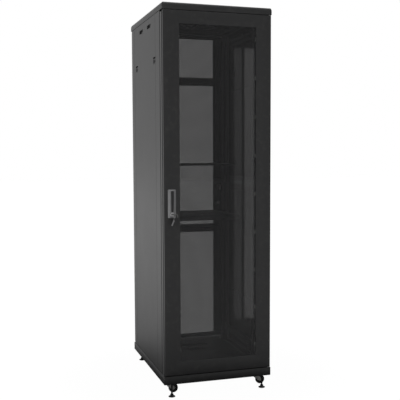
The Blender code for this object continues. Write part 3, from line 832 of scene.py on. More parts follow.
def fixings(shape, tile, points, kind=0, seed=3, most_turn=3.0):
    """Adds one fixing at each point, given in the shape's own coordinates."""
    values = {"Tile": tile_object(tile), "Most Turn": most_turn, "Seed": seed}
    shape.take(pattern("scatter").grow(values, "zinc", points), kind)


def repeated(tile, columns, rows, pitch, row_pitch, shift=0.0, finish="black_paint"):
    values = {
        "Columns": columns, "Rows": rows, "Column Pitch": pitch, "Row Pitch": row_pitch, "Row Shift": shift,
        "Tile": tile_object(tile)
    }
    return pattern("field").grow(values, finish)


def moved(shape, mesh, u, v, depth=0.0, kind=0):
    """Takes over a pattern's mesh, shifted in the shape's own coordinates."""
    for vertex in mesh.vertices:
        vertex.co += Vector((u, v, depth))
    shape.take(mesh, kind)


# Doors


def door_loops(window, fold):
    """The folded door section as loops, from the rounded outer edge in to the window and back."""

    def outer(inset, depth):
        return ring(DOOR_SPREAD, inset, max(fold * 0.8 - inset, 0.0002), depth)

    def inner(outset, depth):
        return ring(window, -outset, 0.0015 + outset, depth)

    edge = DOOR_DEPTH - 0.0014
    curve = quarter(4)
    loops = [outer(0.0, edge - 0.001)]
    loops += [outer(fold * (1 - math.cos(turn)), fold * (1 - math.sin(turn))) for turn in curve]
    loops += [inner(0.0022, 0.0), inner(0.0009, 0.0003), inner(0.0002, 0.001), inner(0.0, 0.0017)]
    loops += [inner(0.003, 0.0016), outer(fold + 0.001, 0.0015), outer(0.0015, fold + 0.001)]
    loops += [outer(0.0015, edge - 0.001), outer(0.003, edge), outer(0.014, edge)]
    loops += [outer(0.014, DOOR_DEPTH), outer(0.0025, DOOR_DEPTH), outer(0.0006, edge)]
    return loops


def door_shape(place, window, fold):
    made = Shape(place)
    made.loft(door_loops(window, fold), closed=True)
    return made


def hinge_sockets(shape, kind):
    """Turned sockets that the hinge pins run in, and the plates that carry them."""
    for height, way in ((DOOR_FOOT + 0.0018, 1), (DOOR_TOP - 0.0018, -1)):
        near, far = sorted((height, height + way * 0.012))
        shape.wire([(HINGE_X, near, 0.011), (HINGE_X, far, 0.011)], 0.00445, 18, kind=kind)
        plate = sorted((height + way * 0.0002, height + way * 0.0022))
        shape.block(
            (HINGE_X - 0.026, plate[0], 0.0024), (HINGE_X + 0.0042, plate[1], 0.019), 0.0004, kind=kind
        )


def window_clips(shape, window, depth, kind):
    """Angle clips with screws, which hold the pane to the back of the frame."""
    low_x, high_x, low_z, high_z = window
    spots = []
    for step in range(9):
        height = low_z + 0.06 + (high_z - low_z - 0.12) * step / 8
        for side, edge in ((-1, low_x), (1, high_x)):
            near, far = sorted((edge - side * 0.004, edge + side * 0.026))
            shape.block(
                (near, height - 0.01, depth), (far, height + 0.01, depth + 0.0016), 0.0004, kind=kind
            )
            spots.append((edge + side * 0.019, height, depth + 0.0016))
    return spots


def frame_seal(shape, inset, width, depth, thick, kind=0):
    """A foam seal that runs round the door's back."""
    far = depth + thick
    section = ((inset, depth), (inset + 0.001, far), (inset + width - 0.001, far), (inset + width, depth))
    shape.loft([ring(DOOR_SPREAD, extra, 0.004, at) for extra, at in section], closed=True, kind=kind)


class CABINET_OT_front_door(bpy.types.Operator):
    """Folded front door with its tinted pane, clips, seal and hinge sockets"""

    bl_idname = "cabinet.front_door"
    bl_label = "Front Door"

    def execute(self, context):
        sizes = context.scene.cabinet_sizes
        glass_low, glass_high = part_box("front_door_glass")
        lap = 0.012
        window = (glass_low.x + lap, glass_high.x - lap, glass_low.z + lap, glass_high.z - lap)
        door = door_shape(on_front, window, sizes.fold)
        hinge_sockets(door, 1)
        back = glass_high.y - FRONT
        clips = window_clips(door, window, back + 0.0008, 1)
        fixings(door, flipped(pan_screw(0.0032, 0.0016)), clips, 1)
        openings = lock_openings(on_front)
        piece(
            "front_door_frame_folded", door, ["black_paint", "zinc"], "front_door", ["front_door_frame"],
            cuts=openings
        )
        pane = Shape(on_front)
        spread = (glass_low.x, glass_high.x, glass_low.z, glass_high.z)
        ends = soft_ends(glass_low.y - FRONT, back, 0.0008, 2)
        pane.loft([ring(spread, inset, 0.004 - inset, depth) for depth, inset in ends])
        piece("front_door_pane", pane, "smoked_glass", "front_door", ["front_door_glass"], degrees=15)
        seal = Shape(on_front)
        frame_seal(seal, 0.015, 0.008, 0.0017, 0.019)
        piece("front_door_seal", seal, "rubber", "front_door")
        return {"FINISHED"}


def flipped(tile):
    """A tile that faces away from the door's face instead of towards it."""
    made = Shape()
    made.add([(-u, v, -depth) for u, v, depth in tile.corners], tile.faces)
    return made


def lock_openings(place):
    """Round holes in a door for the spindle and the cylinder."""
    bores = ((SPINDLE_Z, 0.0066), (CYLINDER_Z, 0.01))
    return [bore(place, (LOCK_X, height), radius, -0.004, 0.008, 24) for height, radius in bores]


def bore(place, centre, radius, near, far, sides):
    """A cutter for a round hole."""
    hole = Shape(place)
    hole.turned(centre, [(radius, near), (radius, far)], sides)
    return hole


# Rows of holes that one piece of the rear sheet holds
ROWS_IN_A_PIECE = 80
# Where the rear door's channels run
CHANNEL_HEIGHTS = (0.817, 1.733)


class CABINET_OT_rear_door(bpy.types.Operator):
    """Folded rear door with its perforated sheet and two stiffening channels"""

    bl_idname = "cabinet.rear_door"
    bl_label = "Rear Door"

    def execute(self, context):
        sizes = context.scene.cabinet_sizes
        low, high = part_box("rear_door_mesh")
        window = (low.x + 0.01, high.x - 0.01, low.z + 0.01, high.z - 0.008)
        door = door_shape(on_rear, window, sizes.fold)
        hinge_sockets(door, 1)
        for height in CHANNEL_HEIGHTS:
            self.channel(door, window, height)
        piece(
            "rear_door_frame_folded", door, ["black_paint", "zinc"], "rear_door", ["rear_door_frame"],
            cuts=lock_openings(on_rear)
        )
        seal = Shape(on_rear)
        frame_seal(seal, 0.015, 0.008, 0.0017, 0.019)
        piece("rear_door_seal", seal, "rubber", "rear_door")
        self.perforated(sizes, low, high)
        return {"FINISHED"}

    def channel(self, door, window, height):
        """A hat-section channel across the back of the sheet."""
        reach = window[1] + 0.02
        section = [
            (height - 0.0205, 0.0037), (height - 0.0205, 0.0049), (height - 0.012, 0.0049),
            (height - 0.0112, 0.0145), (height - 0.01, 0.0153), (height + 0.01, 0.0153),
            (height + 0.0112, 0.0145), (height + 0.012, 0.0049), (height + 0.0205, 0.0049),
            (height + 0.0205, 0.0037), (height + 0.0108, 0.0037), (height + 0.01, 0.0139),
            (height - 0.01, 0.0139), (height - 0.0108, 0.0037)
        ]
        door.crosswise(section, -reach, reach)

    def perforated(self, sizes, low, high):
        """Honeycomb sheet in three fields between the channels, each with a plain border."""
        pitch, row_pitch = sizes.mesh_pitch, sizes.mesh_pitch * math.sqrt(3) / 2
        near, far = 0.002, 0.0032
        cell = pierced(hexagon(pitch), hexagon(sizes.mesh_hole), near, far)
        side_border, end_border, channel_border = 0.0115, 0.0115, 0.019
        first_channel, second_channel = CHANNEL_HEIGHTS
        fields = [(low.z, first_channel), (first_channel, second_channel), (second_channel, high.z)]
        for (foot, top), word in zip(fields, ("lower", "middle", "upper")):
            start_edge = end_border if foot == low.z else channel_border
            top_edge = end_border if top == high.z else channel_border
            width, height = high.x - low.x - 2 * side_border, top - foot - start_edge - top_edge
            columns, rows = int(width / pitch), int(height / row_pitch)
            span_u, span_v = (columns - 0.5) * pitch, (rows - 1) * row_pitch
            left, start = -span_u / 2, (foot + start_edge + top - top_edge) / 2 - span_v / 2
            first = 0
            while first < rows:
                count = min(ROWS_IN_A_PIECE, rows - first)
                sheet = Shape(on_rear)
                cells = repeated(cell, columns, count, pitch, row_pitch, pitch / 2)
                moved(sheet, cells, left, start + first * row_pitch)
                if first == 0:
                    inside = (left + 0.0015, -left - 0.0015, start + 0.0008, start + span_v - 0.0008)
                    loops = []
                    for spread in ((low.x, high.x, foot, top), inside):
                        loops += [at_depth(outline(*spread, 0.0005), depth) for depth in (0.00185, 0.0033)]
                    sheet.loft([loops[0], loops[2], loops[3], loops[1]], closed=True)
                replaced = ["rear_door_mesh"] if word == "middle" and first == 0 else []
                part = first // ROWS_IN_A_PIECE + 1
                piece(f"rear_door_sheet_{word}_{part}", sheet, "black_paint", "rear_door", replaced)
                first += count


# Handles


class CABINET_OT_handles(bpy.types.Operator):
    """Swing handles of both doors: housing, grip, spindle and lock"""

    bl_idname = "cabinet.handles"
    bl_label = "Swing Handles"

    def execute(self, context):
        for place, word, body in ((on_front, "front", "front_door"), (on_rear, "rear", "rear_door")):
            self.housing(place, word, body)
        piece("front_grip", self.grip_shape(on_front), "black_plastic", "front_lever", ["front_lever"])
        rear = self.grip_shape(on_rear)
        self.spindle(rear, -0.01)
        piece("rear_grip", rear, ["black_plastic", "zinc"], "rear_lever", ["rear_lever"])
        cam = Shape(on_front)
        self.spindle(cam, -0.007, 0)
        finished("front_cam", "tongue", cam, "zinc", "front_spindle")
        self.cylinder()
        return {"FINISHED"}

    def housing(self, place, word, body):
        """Cheeks that slope away from the grip on each side, a flat seat under it."""
        half = (HANDLE_HIGH.x - HANDLE_LOW.x) / 2
        foot, head = HANDLE_LOW.z, HANDLE_HIGH.z
        made = Shape(place)
        rings = []
        for depth, inset, ends in (
            (-0.0003, 0.0, 0.0), (-0.0013, 0.0, 0.0), (-0.0018, 0.0004, 0.0003), (-0.0073, 0.011, 0.004),
            (-0.0079, 0.0121, 0.005), (-0.008, 0.013, 0.006)
        ):
            spread = (LOCK_X - half + inset, LOCK_X + half - inset, foot + ends, head - ends)
            rings.append(at_depth(outline(*spread, 0.005 - inset * 0.2, 5), depth))
        made.loft(rings)
        made.turned((LOCK_X, CYLINDER_Z), [
            (0.0128, -0.002), (0.0126, -0.0076), (0.0118, -0.0082), (0.0104, -0.0083)
        ], 32)
        made.turned((LOCK_X, SPINDLE_Z), [(0.0115, -0.002), (0.0113, -0.0079), (0.0106, -0.0082)], 32)
        bores = ((SPINDLE_Z, 0.0065), (CYLINDER_Z, 0.0098)) if word == "front" else ((SPINDLE_Z, 0.0065),)
        holes = [bore(place, (LOCK_X, height), radius, -0.02, 0.01, 32) for height, radius in bores]
        piece(f"{word}_handle_housing", made, "handle_grey", body, [f"{word}_escutcheon"], cuts=holes)

    def grip_shape(self, place):
        """A bar that narrows towards the lock, hollowed for a finger at its foot."""
        low, high = LEVER_LOW, LEVER_HIGH
        near = LEVER_HIGH.y - FRONT
        far = LEVER_LOW.y - FRONT
        made = Shape(place)
        rings = []
        steps = 14
        for step in range(steps + 1):
            share = step / steps
            height = low.z + (high.z - low.z) * share
            half = 0.0052 + 0.0023 * share**0.7
            nose = min(share, 1 - share) * steps
            lift = 0.0016 * max(0.0, 1 - nose) ** 2
            scoop = 0.003 * math.exp(-(((share - 0.1) / 0.07) ** 2))
            crown = far + lift + scoop + 0.0004
            section = outline(
                LOCK_X - half + lift * 0.5, LOCK_X + half - lift * 0.5, crown, near - 0.0001, 0.0024, 4
            )
            rings.append([(u, height, depth) for u, depth in section])
        made.loft(rings)
        made.block(
            (LOCK_X - 0.0058, high.z - 0.0235, far), (LOCK_X + 0.0058, high.z - 0.002, near - 0.0006),
            0.0012, 0.005
        )
        for step in range(5):
            height = low.z + 0.026 + step * 0.0034
            made.block(
                (LOCK_X - 0.0046, height - 0.0006, far), (LOCK_X + 0.0046, height + 0.0006, far + 0.002),
                0.0004
            )
        return made

    def spindle(self, made, start, kind=1):
        """The square-ended shaft through the door and the tongue that holds the post."""
        low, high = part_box("front_cam")
        depth = high.y - FRONT
        tongue = depth - 0.001
        made.turned((LOCK_X, SPINDLE_Z), [
            (0.0054, start), (0.0058, start + 0.0006), (0.0058, depth - 0.0006), (0.0052, depth)
        ], 20, kind)
        made.turned((LOCK_X, SPINDLE_Z), [(0.0092, 0.002), (0.0092, 0.0072)], 6, kind)
        made.block(
            (LOCK_X - 0.0063, low.z + 0.0002, tongue - 0.003), (LOCK_X + 0.0063, SPINDLE_Z + 0.0063, tongue),
            0.0005, 0.0045, kind=kind
        )
        made.turned((LOCK_X, SPINDLE_Z), [
            (0.006, tongue - 0.0001), (0.006, tongue + 0.0006), (0.0045, tongue + 0.0009)
        ], 6, kind)

    def cylinder(self):
        """A turned barrel with a lipped face and its keyway."""
        low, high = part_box("front_lock_cylinder")
        face, back = low.y - FRONT, high.y - FRONT
        made = Shape(on_front)
        profile = [
            (0.003, face + 0.0004), (0.0068, face + 0.0004), (0.0072, face), (0.009, face),
            (0.0095, face + 0.0005), (0.0095, face + 0.004), (0.009, face + 0.0045), (0.009, back - 0.0008),
            (0.0082, back)
        ]
        made.turned((LOCK_X, CYLINDER_Z), profile, 36)
        keyway = Shape(on_front)
        keyway.block(
            (LOCK_X - 0.0046, CYLINDER_Z - 0.0012, face - 0.01),
            (LOCK_X + 0.0046, CYLINDER_Z + 0.0012, face + 0.01), 0.0002
        )
        piece("front_lock_barrel", made, "chrome", "front_lock", ["front_lock_cylinder"], cuts=[keyway])


class CABINET_OT_keys(bpy.types.Operator):
    """The key in the lock, its ring, a plain fob and the spare key"""

    bl_idname = "cabinet.keys"
    bl_label = "Keys"

    def execute(self, context):
        low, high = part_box("front_key")
        tip, back = low.y - FRONT, high.y - FRONT
        bow_back = tip + 0.021
        centre_u = LOCK_X + 0.0105
        ring_depth = (tip + bow_back) / 2 - 0.004
        centre_v = CYLINDER_Z - 0.0072
        key = Shape(on_front)
        rings = []
        for height, inset in soft_ends(CYLINDER_Z - 0.0016, CYLINDER_Z + 0.0016, 0.0009, 3):
            section = outline(
                low.x + inset, high.x - inset, tip + inset, bow_back - inset, 0.0078 - inset, 6
            )
            rings.append([(u, height, depth) for u, depth in section])
        key.loft(rings)
        teeth = [
            (-0.004, bow_back - 0.003), (-0.004, -0.0095), (-0.004, back - 0.001), (-0.003, back),
            (0.002, back), (0.0038, -0.0022), (0.003, -0.0036), (0.004, -0.0052), (0.0028, -0.0068),
            (0.004, -0.008), (0.004, -0.0095), (0.004, bow_back - 0.003)
        ]
        profile = [(LOCK_X + u, depth) for u, depth in teeth]
        key.lengthwise(profile, CYLINDER_Z - 0.0009, CYLINDER_Z + 0.0009, 1)
        slot = Shape(on_front)
        spread = (LOCK_X - 0.006, LOCK_X + 0.0085, ring_depth - 0.0035, ring_depth + 0.0035)
        slot.lengthwise(outline(*spread, 0.0034, 5), CYLINDER_Z - 0.01, CYLINDER_Z + 0.01)
        piece("lock_key", key, ["black_plastic", "zinc"], "front_lock", ["front_key"], cuts=[slot])
        bunch = Shape(on_front)
        radius, wire = 0.011, 0.0008
        for shift in (-0.00045, 0.00045):
            path = [
                (centre_u + radius * math.cos(turn), centre_v + radius * math.sin(turn), ring_depth + shift)
                for turn in (2 * math.pi * step / 40 for step in range(40))
            ]
            bunch.wire(path, wire * 0.62, 8, closed=True)
        self.hanging(bunch, (centre_u, centre_v, ring_depth), 13, (0.0125, 0.044, 0.0017), radius, 1)
        self.hanging(bunch, (centre_u, centre_v, ring_depth), -22, (0.004, 0.046, 0.001), radius, 2)
        piece(
            "key_ring_and_fob", bunch, ["zinc", "black_plastic", "handle_grey"], "key_bunch", ["key_bunch"],
            slot="black_plastic"
        )
        return {"FINISHED"}

    def hanging(self, shape, centre, degrees, size, radius, kind):
        """A tag or spare key on the ring, tilted about the ring's centre."""
        half, length, thick = size
        turn = math.radians(degrees)
        local = Shape()
        top = -radius + 0.003
        if kind == 1:
            local.block((-half, top - length, -thick), (half, top, thick), 0.0009, 0.0055, 3)
            local.block(
                (-half + 0.003, top - length + 0.003, -thick - 0.0004),
                (half - 0.003, top - 0.01, thick + 0.0004), 0.0004, 0.003
            )
            local.turned((0.0, top - 0.0042), [
                (0.003, -thick - 0.0006), (0.0034, -thick), (0.0034, thick), (0.003, thick + 0.0006)
            ], 16)
        else:
            edge = [(-half, top - 0.016), (-half, top - length + 0.002), (-half + 0.002, top - length)]
            bits = [(half - 0.001, top - length + 0.001)]
            for step in range(5):
                foot = top - length + 0.003 + step * 0.0048
                bits += [(half - 0.0018, foot), (half - 0.0004, foot + 0.0022)]
            outline_points = edge + bits + [(half, top - 0.018), (half, top - 0.016)]
            local.prism(outline_points, -thick, thick)
            local.block((-half, top - 0.0165, -thick), (half, top, thick), 0.0003, half * 0.9)
        cos, sin = math.cos(turn), math.sin(turn)
        corners = [
            (centre[0] + u * cos - v * sin, centre[1] + u * sin + v * cos, centre[2] + depth)
            for u, v, depth in local.corners
        ]
        shape.add(corners, local.faces, kind)


# Side panels


class CABINET_OT_side_panels(bpy.types.Operator):
    """Lift-off side panels: folded sheet with pressed ribs, finger grips and sliding latches"""

    bl_idname = "cabinet.side_panels"
    bl_label = "Side Panels"

    def execute(self, context):
        fold = context.scene.cabinet_sizes.fold
        for word, place in (("left", on_left), ("right", on_right)):
            self.panel(word, place, fold)
            for where in ("front", "rear"):
                self.latch(word, where, place)
        return {"FINISHED"}

    def panel(self, word, place, fold):
        low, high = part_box(f"side_panel_{word}")
        depth = high.x - low.x
        edges = (low.y, high.y, low.z, high.z)

        def loop(inset, at):
            return ring(edges, inset, max(fold - inset, 0.0002), at)

        curve = quarter(4)[::-1]
        loops = [loop(fold * (1 - math.cos(turn)), fold * (1 - math.sin(turn))) for turn in curve]
        loops = [
            loop(0.012, 0.0), *loops, loop(0.0, depth - 0.002), loop(0.0007, depth - 0.0005),
            loop(0.0022, depth)
        ]
        loops += [loop(0.012, depth), loop(0.012, depth - 0.0013), loop(0.003, depth - 0.0013)]
        loops += [
            loop(0.0015, depth - 0.003), loop(0.0015, fold + 0.001), loop(fold + 0.001, 0.0015),
            loop(0.013, 0.0015)
        ]
        made = Shape(place)
        made.loft(loops)
        openings = []
        for where in ("front", "rear"):
            latch_low, latch_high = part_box(f"side_latch_{word}_{where}")
            hole = Shape(place)
            hole.block(
                (latch_low.y - 0.001, latch_low.z - 0.001, -0.01),
                (latch_high.y + 0.001, latch_high.z + 0.009, 0.01), 0.0001, 0.0022
            )
            openings.append(hole)
            spread = (latch_low.y - 0.004, latch_high.y + 0.004, latch_low.z - 0.004, latch_high.z + 0.012)
            box = [(0.0016, 0.0), (0.0145, 0.0), (0.0145, 0.0012), (0.0016, 0.0012)]
            made.loft([ring(spread, inset, 0.003, at) for at, inset in box], closed=True)
            made.block((spread[0], spread[2], 0.0132), (spread[1], spread[3], 0.0145), 0.0003, 0.003)
        middle = (low.y + high.y) / 2
        for side in (-1, 1):
            hole = Shape(place)
            hole.block(
                (middle + side * 0.1 - 0.045, 1.965, -0.01), (middle + side * 0.1 + 0.045, 1.985, 0.01),
                0.0001, 0.0095
            )
            openings.append(hole)
            self.cup(made, middle + side * 0.1, 1.975)
        for along in (low.y + 0.1, high.y - 0.06):
            groove = Shape(place)
            near, far = along - 0.0022, along + 0.0022
            section = [(near, -0.001), (far, -0.001), (far, 0.00005), (along, 0.0009), (near, 0.00005)]
            groove.lengthwise(section, low.z + 0.01, high.z - 0.01)
            openings.append(groove)
        for up in (0.45, 1.075, 1.7):
            section = [(up - 0.03, 0.0016), (up - 0.028, 0.01), (up - 0.012, 0.01), (up - 0.01, 0.0016)]
            made.crosswise(section, low.y + 0.004, high.y - 0.004)
        finished(f"side_panel_{word}", "folded", made, "black_paint", f"{word}_side_panel", cuts=openings)

    def cup(self, shape, along, up):
        """The pressed finger cup behind a grip opening."""
        spread = (along - 0.045, along + 0.045, up - 0.01, up + 0.01)
        outside = ((0.0014, 0.0025), (0.009, 0.0015), (0.0125, -0.002))
        inside = ((0.0112, -0.0032), (0.0088, 0.0003), (0.0014, 0.0012))
        rings = [ring(spread, -grow, 0.0095 + grow, depth, 5) for depth, grow in outside + inside]
        shape.loft(rings[:3], capped=False)
        shape.loft(rings[3:], capped=False)
        shape.add(rings[2], [tuple(range(len(rings[2])))])
        shape.add(rings[3], [tuple(range(len(rings[3])))])
        shape.loft([rings[0], rings[5]], capped=False)

    def latch(self, word, where, place):
        """A sliding button with grip ribs, and its dish."""
        low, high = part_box(f"side_latch_{word}_{where}")
        made = Shape(place)
        spread = (low.y, high.y, low.z, high.z)
        dish = (
            (0.0118, 0.0006), (0.0022, 0.0), (0.0006, 0.0002), (0.0003, 0.001), (0.0004, 0.0024),
            (0.0028, 0.004), (0.003, 0.006)
        )
        made.loft([ring(spread, inset, max(0.0026 - inset * 0.3, 0.001), depth, 4) for depth, inset in dish])
        for step in range(6):
            along = (low.y + high.y) / 2 + (step - 2.5) * 0.0052
            made.block(
                (along - 0.0011, low.z + 0.0065, 0.0008), (along + 0.0011, high.z - 0.0065, 0.0034), 0.0005
            )
        finished(f"side_latch_{word}_{where}", "button", made, "black_plastic", f"{word}_latch_{where}")


# Top


class CABINET_OT_top_cover(bpy.types.Operator):
    """The cap with its fan openings, wire guards, knock-outs and screws"""

    bl_idname = "cabinet.top_cover"
    bl_label = "Top Cover"

    def execute(self, context):
        sizes = context.scene.cabinet_sizes
        low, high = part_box("top_cover")
        inward, drop = 0.0085, 0.018

        def loop(inset, depth):
            return ring(level_spread((low, high)), inset, max(0.007 - inset, 0.0003), depth, 5)

        curve = quarter(8)[::-1]
        skirt = TOP - low.z
        loops = [loop(inward * (1 - math.cos(turn)), drop * (1 - math.sin(turn))) for turn in curve]
        loops = [
            loop(0.012, 0.0), *loops, loop(0.0, skirt - 0.0006), loop(0.0003, skirt), loop(0.0012, skirt)
        ]
        loops += [loop(0.0015, skirt - 0.0006), loop(0.0015, drop), loop(0.0036, 0.0075)]
        loops += [loop(0.0085, 0.0028), loop(0.013, 0.0015)]
        cap = Shape(on_top)
        cap.loft(loops)
        openings = []
        guards = Shape(on_top)
        for index in range(1, 5):
            centre = middle_of(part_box(f"fan_rotor_{index}"))
            openings.append(bore(on_top, centre, 0.057, -0.01, 0.01, 48))
            values = {"Rings": sizes.guard_rings, "Ribs": 4, "Radius": 0.0562, "Wire": 0.0007}
            moved(guards, pattern("guard").grow(values, "zinc"), *centre, 0.001)
            guards.turned(centre, [(0.011, 0.0004), (0.0118, 0.0009), (0.0118, 0.0016)], 24)
        for side in (-1, 1):
            groove = Shape(on_top)
            spread = (side * 0.185 - 0.055, side * 0.185 + 0.055, REAR - 0.15, REAR - 0.085)
            section = ((0.0, -0.01), (0.0, 0.0005), (0.0012, 0.0005), (0.0012, -0.01))
            groove.loft(
                [ring(spread, -grow, 0.012 + grow, depth, 5) for grow, depth in section], closed=True
            )
            openings.append(groove)
        finished("top_cover", "cap", cap, "black_paint", cuts=openings)
        piece("fan_guards", guards, "zinc")
        heads = Shape(on_top)
        spots = [
            (side * (HALF - 0.022), edge, 0.00015)
            for side in (-1, 1)
            for edge in (FRONT + 0.022, 0.0, REAR - 0.022)
        ]
        for side, edge, depth in spots:
            heads.turned((side, edge), [
                (0.0042, 0.0012), (0.0042, 0.0003), (0.0036, depth), (0.0022, depth), (0.0019, 0.0009)
            ], 20)
        piece("top_cover_screws", heads, "zinc")
        return {"FINISHED"}


class CABINET_OT_fans(bpy.types.Operator):
    """Four fans in a tray under the cap: framed housings, and rotors with curved blades"""

    bl_idname = "cabinet.fans"
    bl_label = "Fans"

    def execute(self, context):
        blades = context.scene.cabinet_sizes.fan_blades
        tray_low, tray_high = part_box("fan_tray")
        housing = Shape()
        bolts = []
        for index in range(1, 5):
            centre = middle_of(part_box(f"fan_rotor_{index}"))
            self.housing(housing, centre, tray_low.z, tray_high.z)
            bolts += [
                (centre[0] + a * 0.0525, centre[1] + b * 0.0525, -tray_low.z)
                for a in (-1, 1)
                for b in (-1, 1)
            ]
            self.rotor(index, centre, tray_low.z + 0.0045, tray_high.z - 0.0055, blades)
        middle = middle_of((tray_low, tray_high))

        def loop(reach, corner, height):
            spread = (middle[0] - reach, middle[0] + reach, middle[1] - reach, middle[1] + reach)
            return at_depth(outline(*spread, corner, 4), height)

        head = tray_high.z
        housing.loft([
            loop(0.13, 0.001, head - 0.001), loop(0.1375, 0.004, head - 0.001),
            loop(0.139, 0.0055, head - 0.0025), loop(0.139, 0.0055, tray_low.z),
            loop(0.1375, 0.004, tray_low.z), loop(0.1375, 0.004, head - 0.0027),
            loop(0.13, 0.001, head - 0.0027)
        ], closed=True, kind=1)
        screws = Shape(underside)
        fixings(screws, flipped(pan_screw(0.0034, 0.0014)), bolts, 1)
        piece("fan_housings", housing, ["black_plastic", "inner_paint"], "cabinet", ["fan_tray"])
        piece("fan_screws", screws, ["black_plastic", "zinc"], slot="zinc")
        return {"FINISHED"}

    def housing(self, shape, centre, foot, head):
        """A square fan frame with a round throat and four struts to the motor's seat."""
        half = 0.0595
        square = []
        for u, v in circle((0, 0), 1.0, 48):
            reach = half / max(abs(u), abs(v))
            square.append((centre[0] + u * reach, centre[1] + v * reach))

        def ring(share, radius, height):
            throat = circle(centre, radius, 48)
            return [
                (a * share + c * (1 - share), b * share + d * (1 - share), height)
                for (a, b), (c, d) in zip(square, throat)
            ]

        loops = [
            ring(1.0, 0.057, foot + 0.0002), ring(0.0, 0.0568, foot + 0.0002),
            ring(0.0, 0.0555, foot + 0.0015), ring(0.0, 0.055, foot + 0.01), ring(0.0, 0.055, head - 0.01),
            ring(0.0, 0.0555, head - 0.0015), ring(0.0, 0.0568, head - 0.0002),
            ring(1.0, 0.057, head - 0.0002), ring(1.0, 0.057, head - 0.005),
            ring(0.25, 0.0575, head - 0.0052), ring(0.25, 0.0575, foot + 0.0052),
            ring(1.0, 0.057, foot + 0.005)
        ]
        shape.loft(loops, closed=True)
        shape.turned(centre, [
            (0.019, foot + 0.0004), (0.02, foot + 0.001), (0.02, foot + 0.0032), (0.019, foot + 0.0036)
        ], 32)
        for turn in range(4):
            angle = math.pi / 4 + turn * math.pi / 2
            cos, sin = math.cos(angle), math.sin(angle)
            rings = []
            for reach, skew in ((0.0185, 0.0), (0.036, 0.003), (0.056, 0.0)):
                points = []
                for off, height in (
                    (-0.0018, foot + 0.0006), (0.0018, foot + 0.0006), (0.0012, foot + 0.0032),
                    (-0.0012, foot + 0.0032)
                ):
                    side = off + skew
                    points.append(
                        (centre[0] + cos * reach - sin * side, centre[1] + sin * reach + cos * side, height)
                    )
                rings.append(points)
            shape.loft(rings)

    def rotor(self, index, centre, foot, head, blades):
        made = Shape()
        made.turned(centre, [
            (0.0176, foot), (0.0196, foot + 0.0008), (0.02, foot + 0.002), (0.02, head - 0.003),
            (0.019, head - 0.0008), (0.017, head), (0.006, head), (0.0055, head - 0.0006)
        ], 36)
        middle = (foot + head) / 2
        for blade in range(blades):
            turn = 2 * math.pi * blade / blades
            rings = []
            for radius, pitch, chord, sweep in (
                (0.019, 48, 0.015, 0.00), (0.029, 41, 0.02, 0.06), (0.04, 34, 0.0235, 0.16),
                (0.05, 29, 0.025, 0.3), (0.053, 27, 0.0215, 0.36)
            ):
                tilt = math.radians(pitch)
                section = []
                for along, thick in (
                    (-0.5, 0.0), (-0.25, 1.0), (0.0, 1.2), (0.25, 1.0), (0.5, 0.0), (0.25, -0.6),
                    (0.0, -0.7), (-0.25, -0.6)
                ):
                    bow = 0.0016 * (1 - 4 * along * along)
                    across = along * chord * math.cos(tilt) - (bow + thick * 0.0006) * math.sin(tilt)
                    up = along * chord * math.sin(tilt) + (bow + thick * 0.0006) * math.cos(tilt)
                    angle = turn + sweep + across / radius
                    section.append((
                        centre[0] + radius * math.cos(angle), centre[1] + radius * math.sin(angle),
                        middle + up
                    ))
                rings.append(section)
            made.loft(rings)
        finished(f"fan_rotor_{index}", "blades", made, "black_plastic", f"fan_{index}")


# Frame


def folded_upright(shape, path, low, high, thick, fold):
    """Sheet folded along a path of points, with rounded folds, standing from low to high."""
    points = [Vector(point) for point in path]
    left, right = [], []
    for index, point in enumerate(points):
        ways = []
        if index:
            ways.append((point - points[index - 1]).normalized())
        if index < len(points) - 1:
            ways.append((points[index + 1] - point).normalized())
        if len(ways) == 1:
            normal = Vector((-ways[0].y, ways[0].x))
            left.append(point)
            right.append(point + normal * thick)
            continue
        turn = ways[0].x * ways[1].y - ways[0].y * ways[1].x
        for reach, into in (
            (fold, left), (max(fold - thick, 0.0003), right)
        ) if turn > 0 else ((max(fold, 0.0003), left), (fold + thick, right)):
            offset = Vector((0.0, 0.0)) if into is left else (
                Vector((-ways[0].y, ways[0].x)) + Vector((-ways[1].y, ways[1].x))
            ) * thick
            corner = point + offset
            for step in range(4):
                share = step / 3
                start, end = corner - ways[0] * reach, corner + ways[1] * reach
                into.append(start * (1 - share) ** 2 + corner * 2 * share * (1 - share) + end * share**2)
    section = left + right[::-1]
    shape.loft([[(point.x, point.y, height) for point in section] for height in (low, high)])


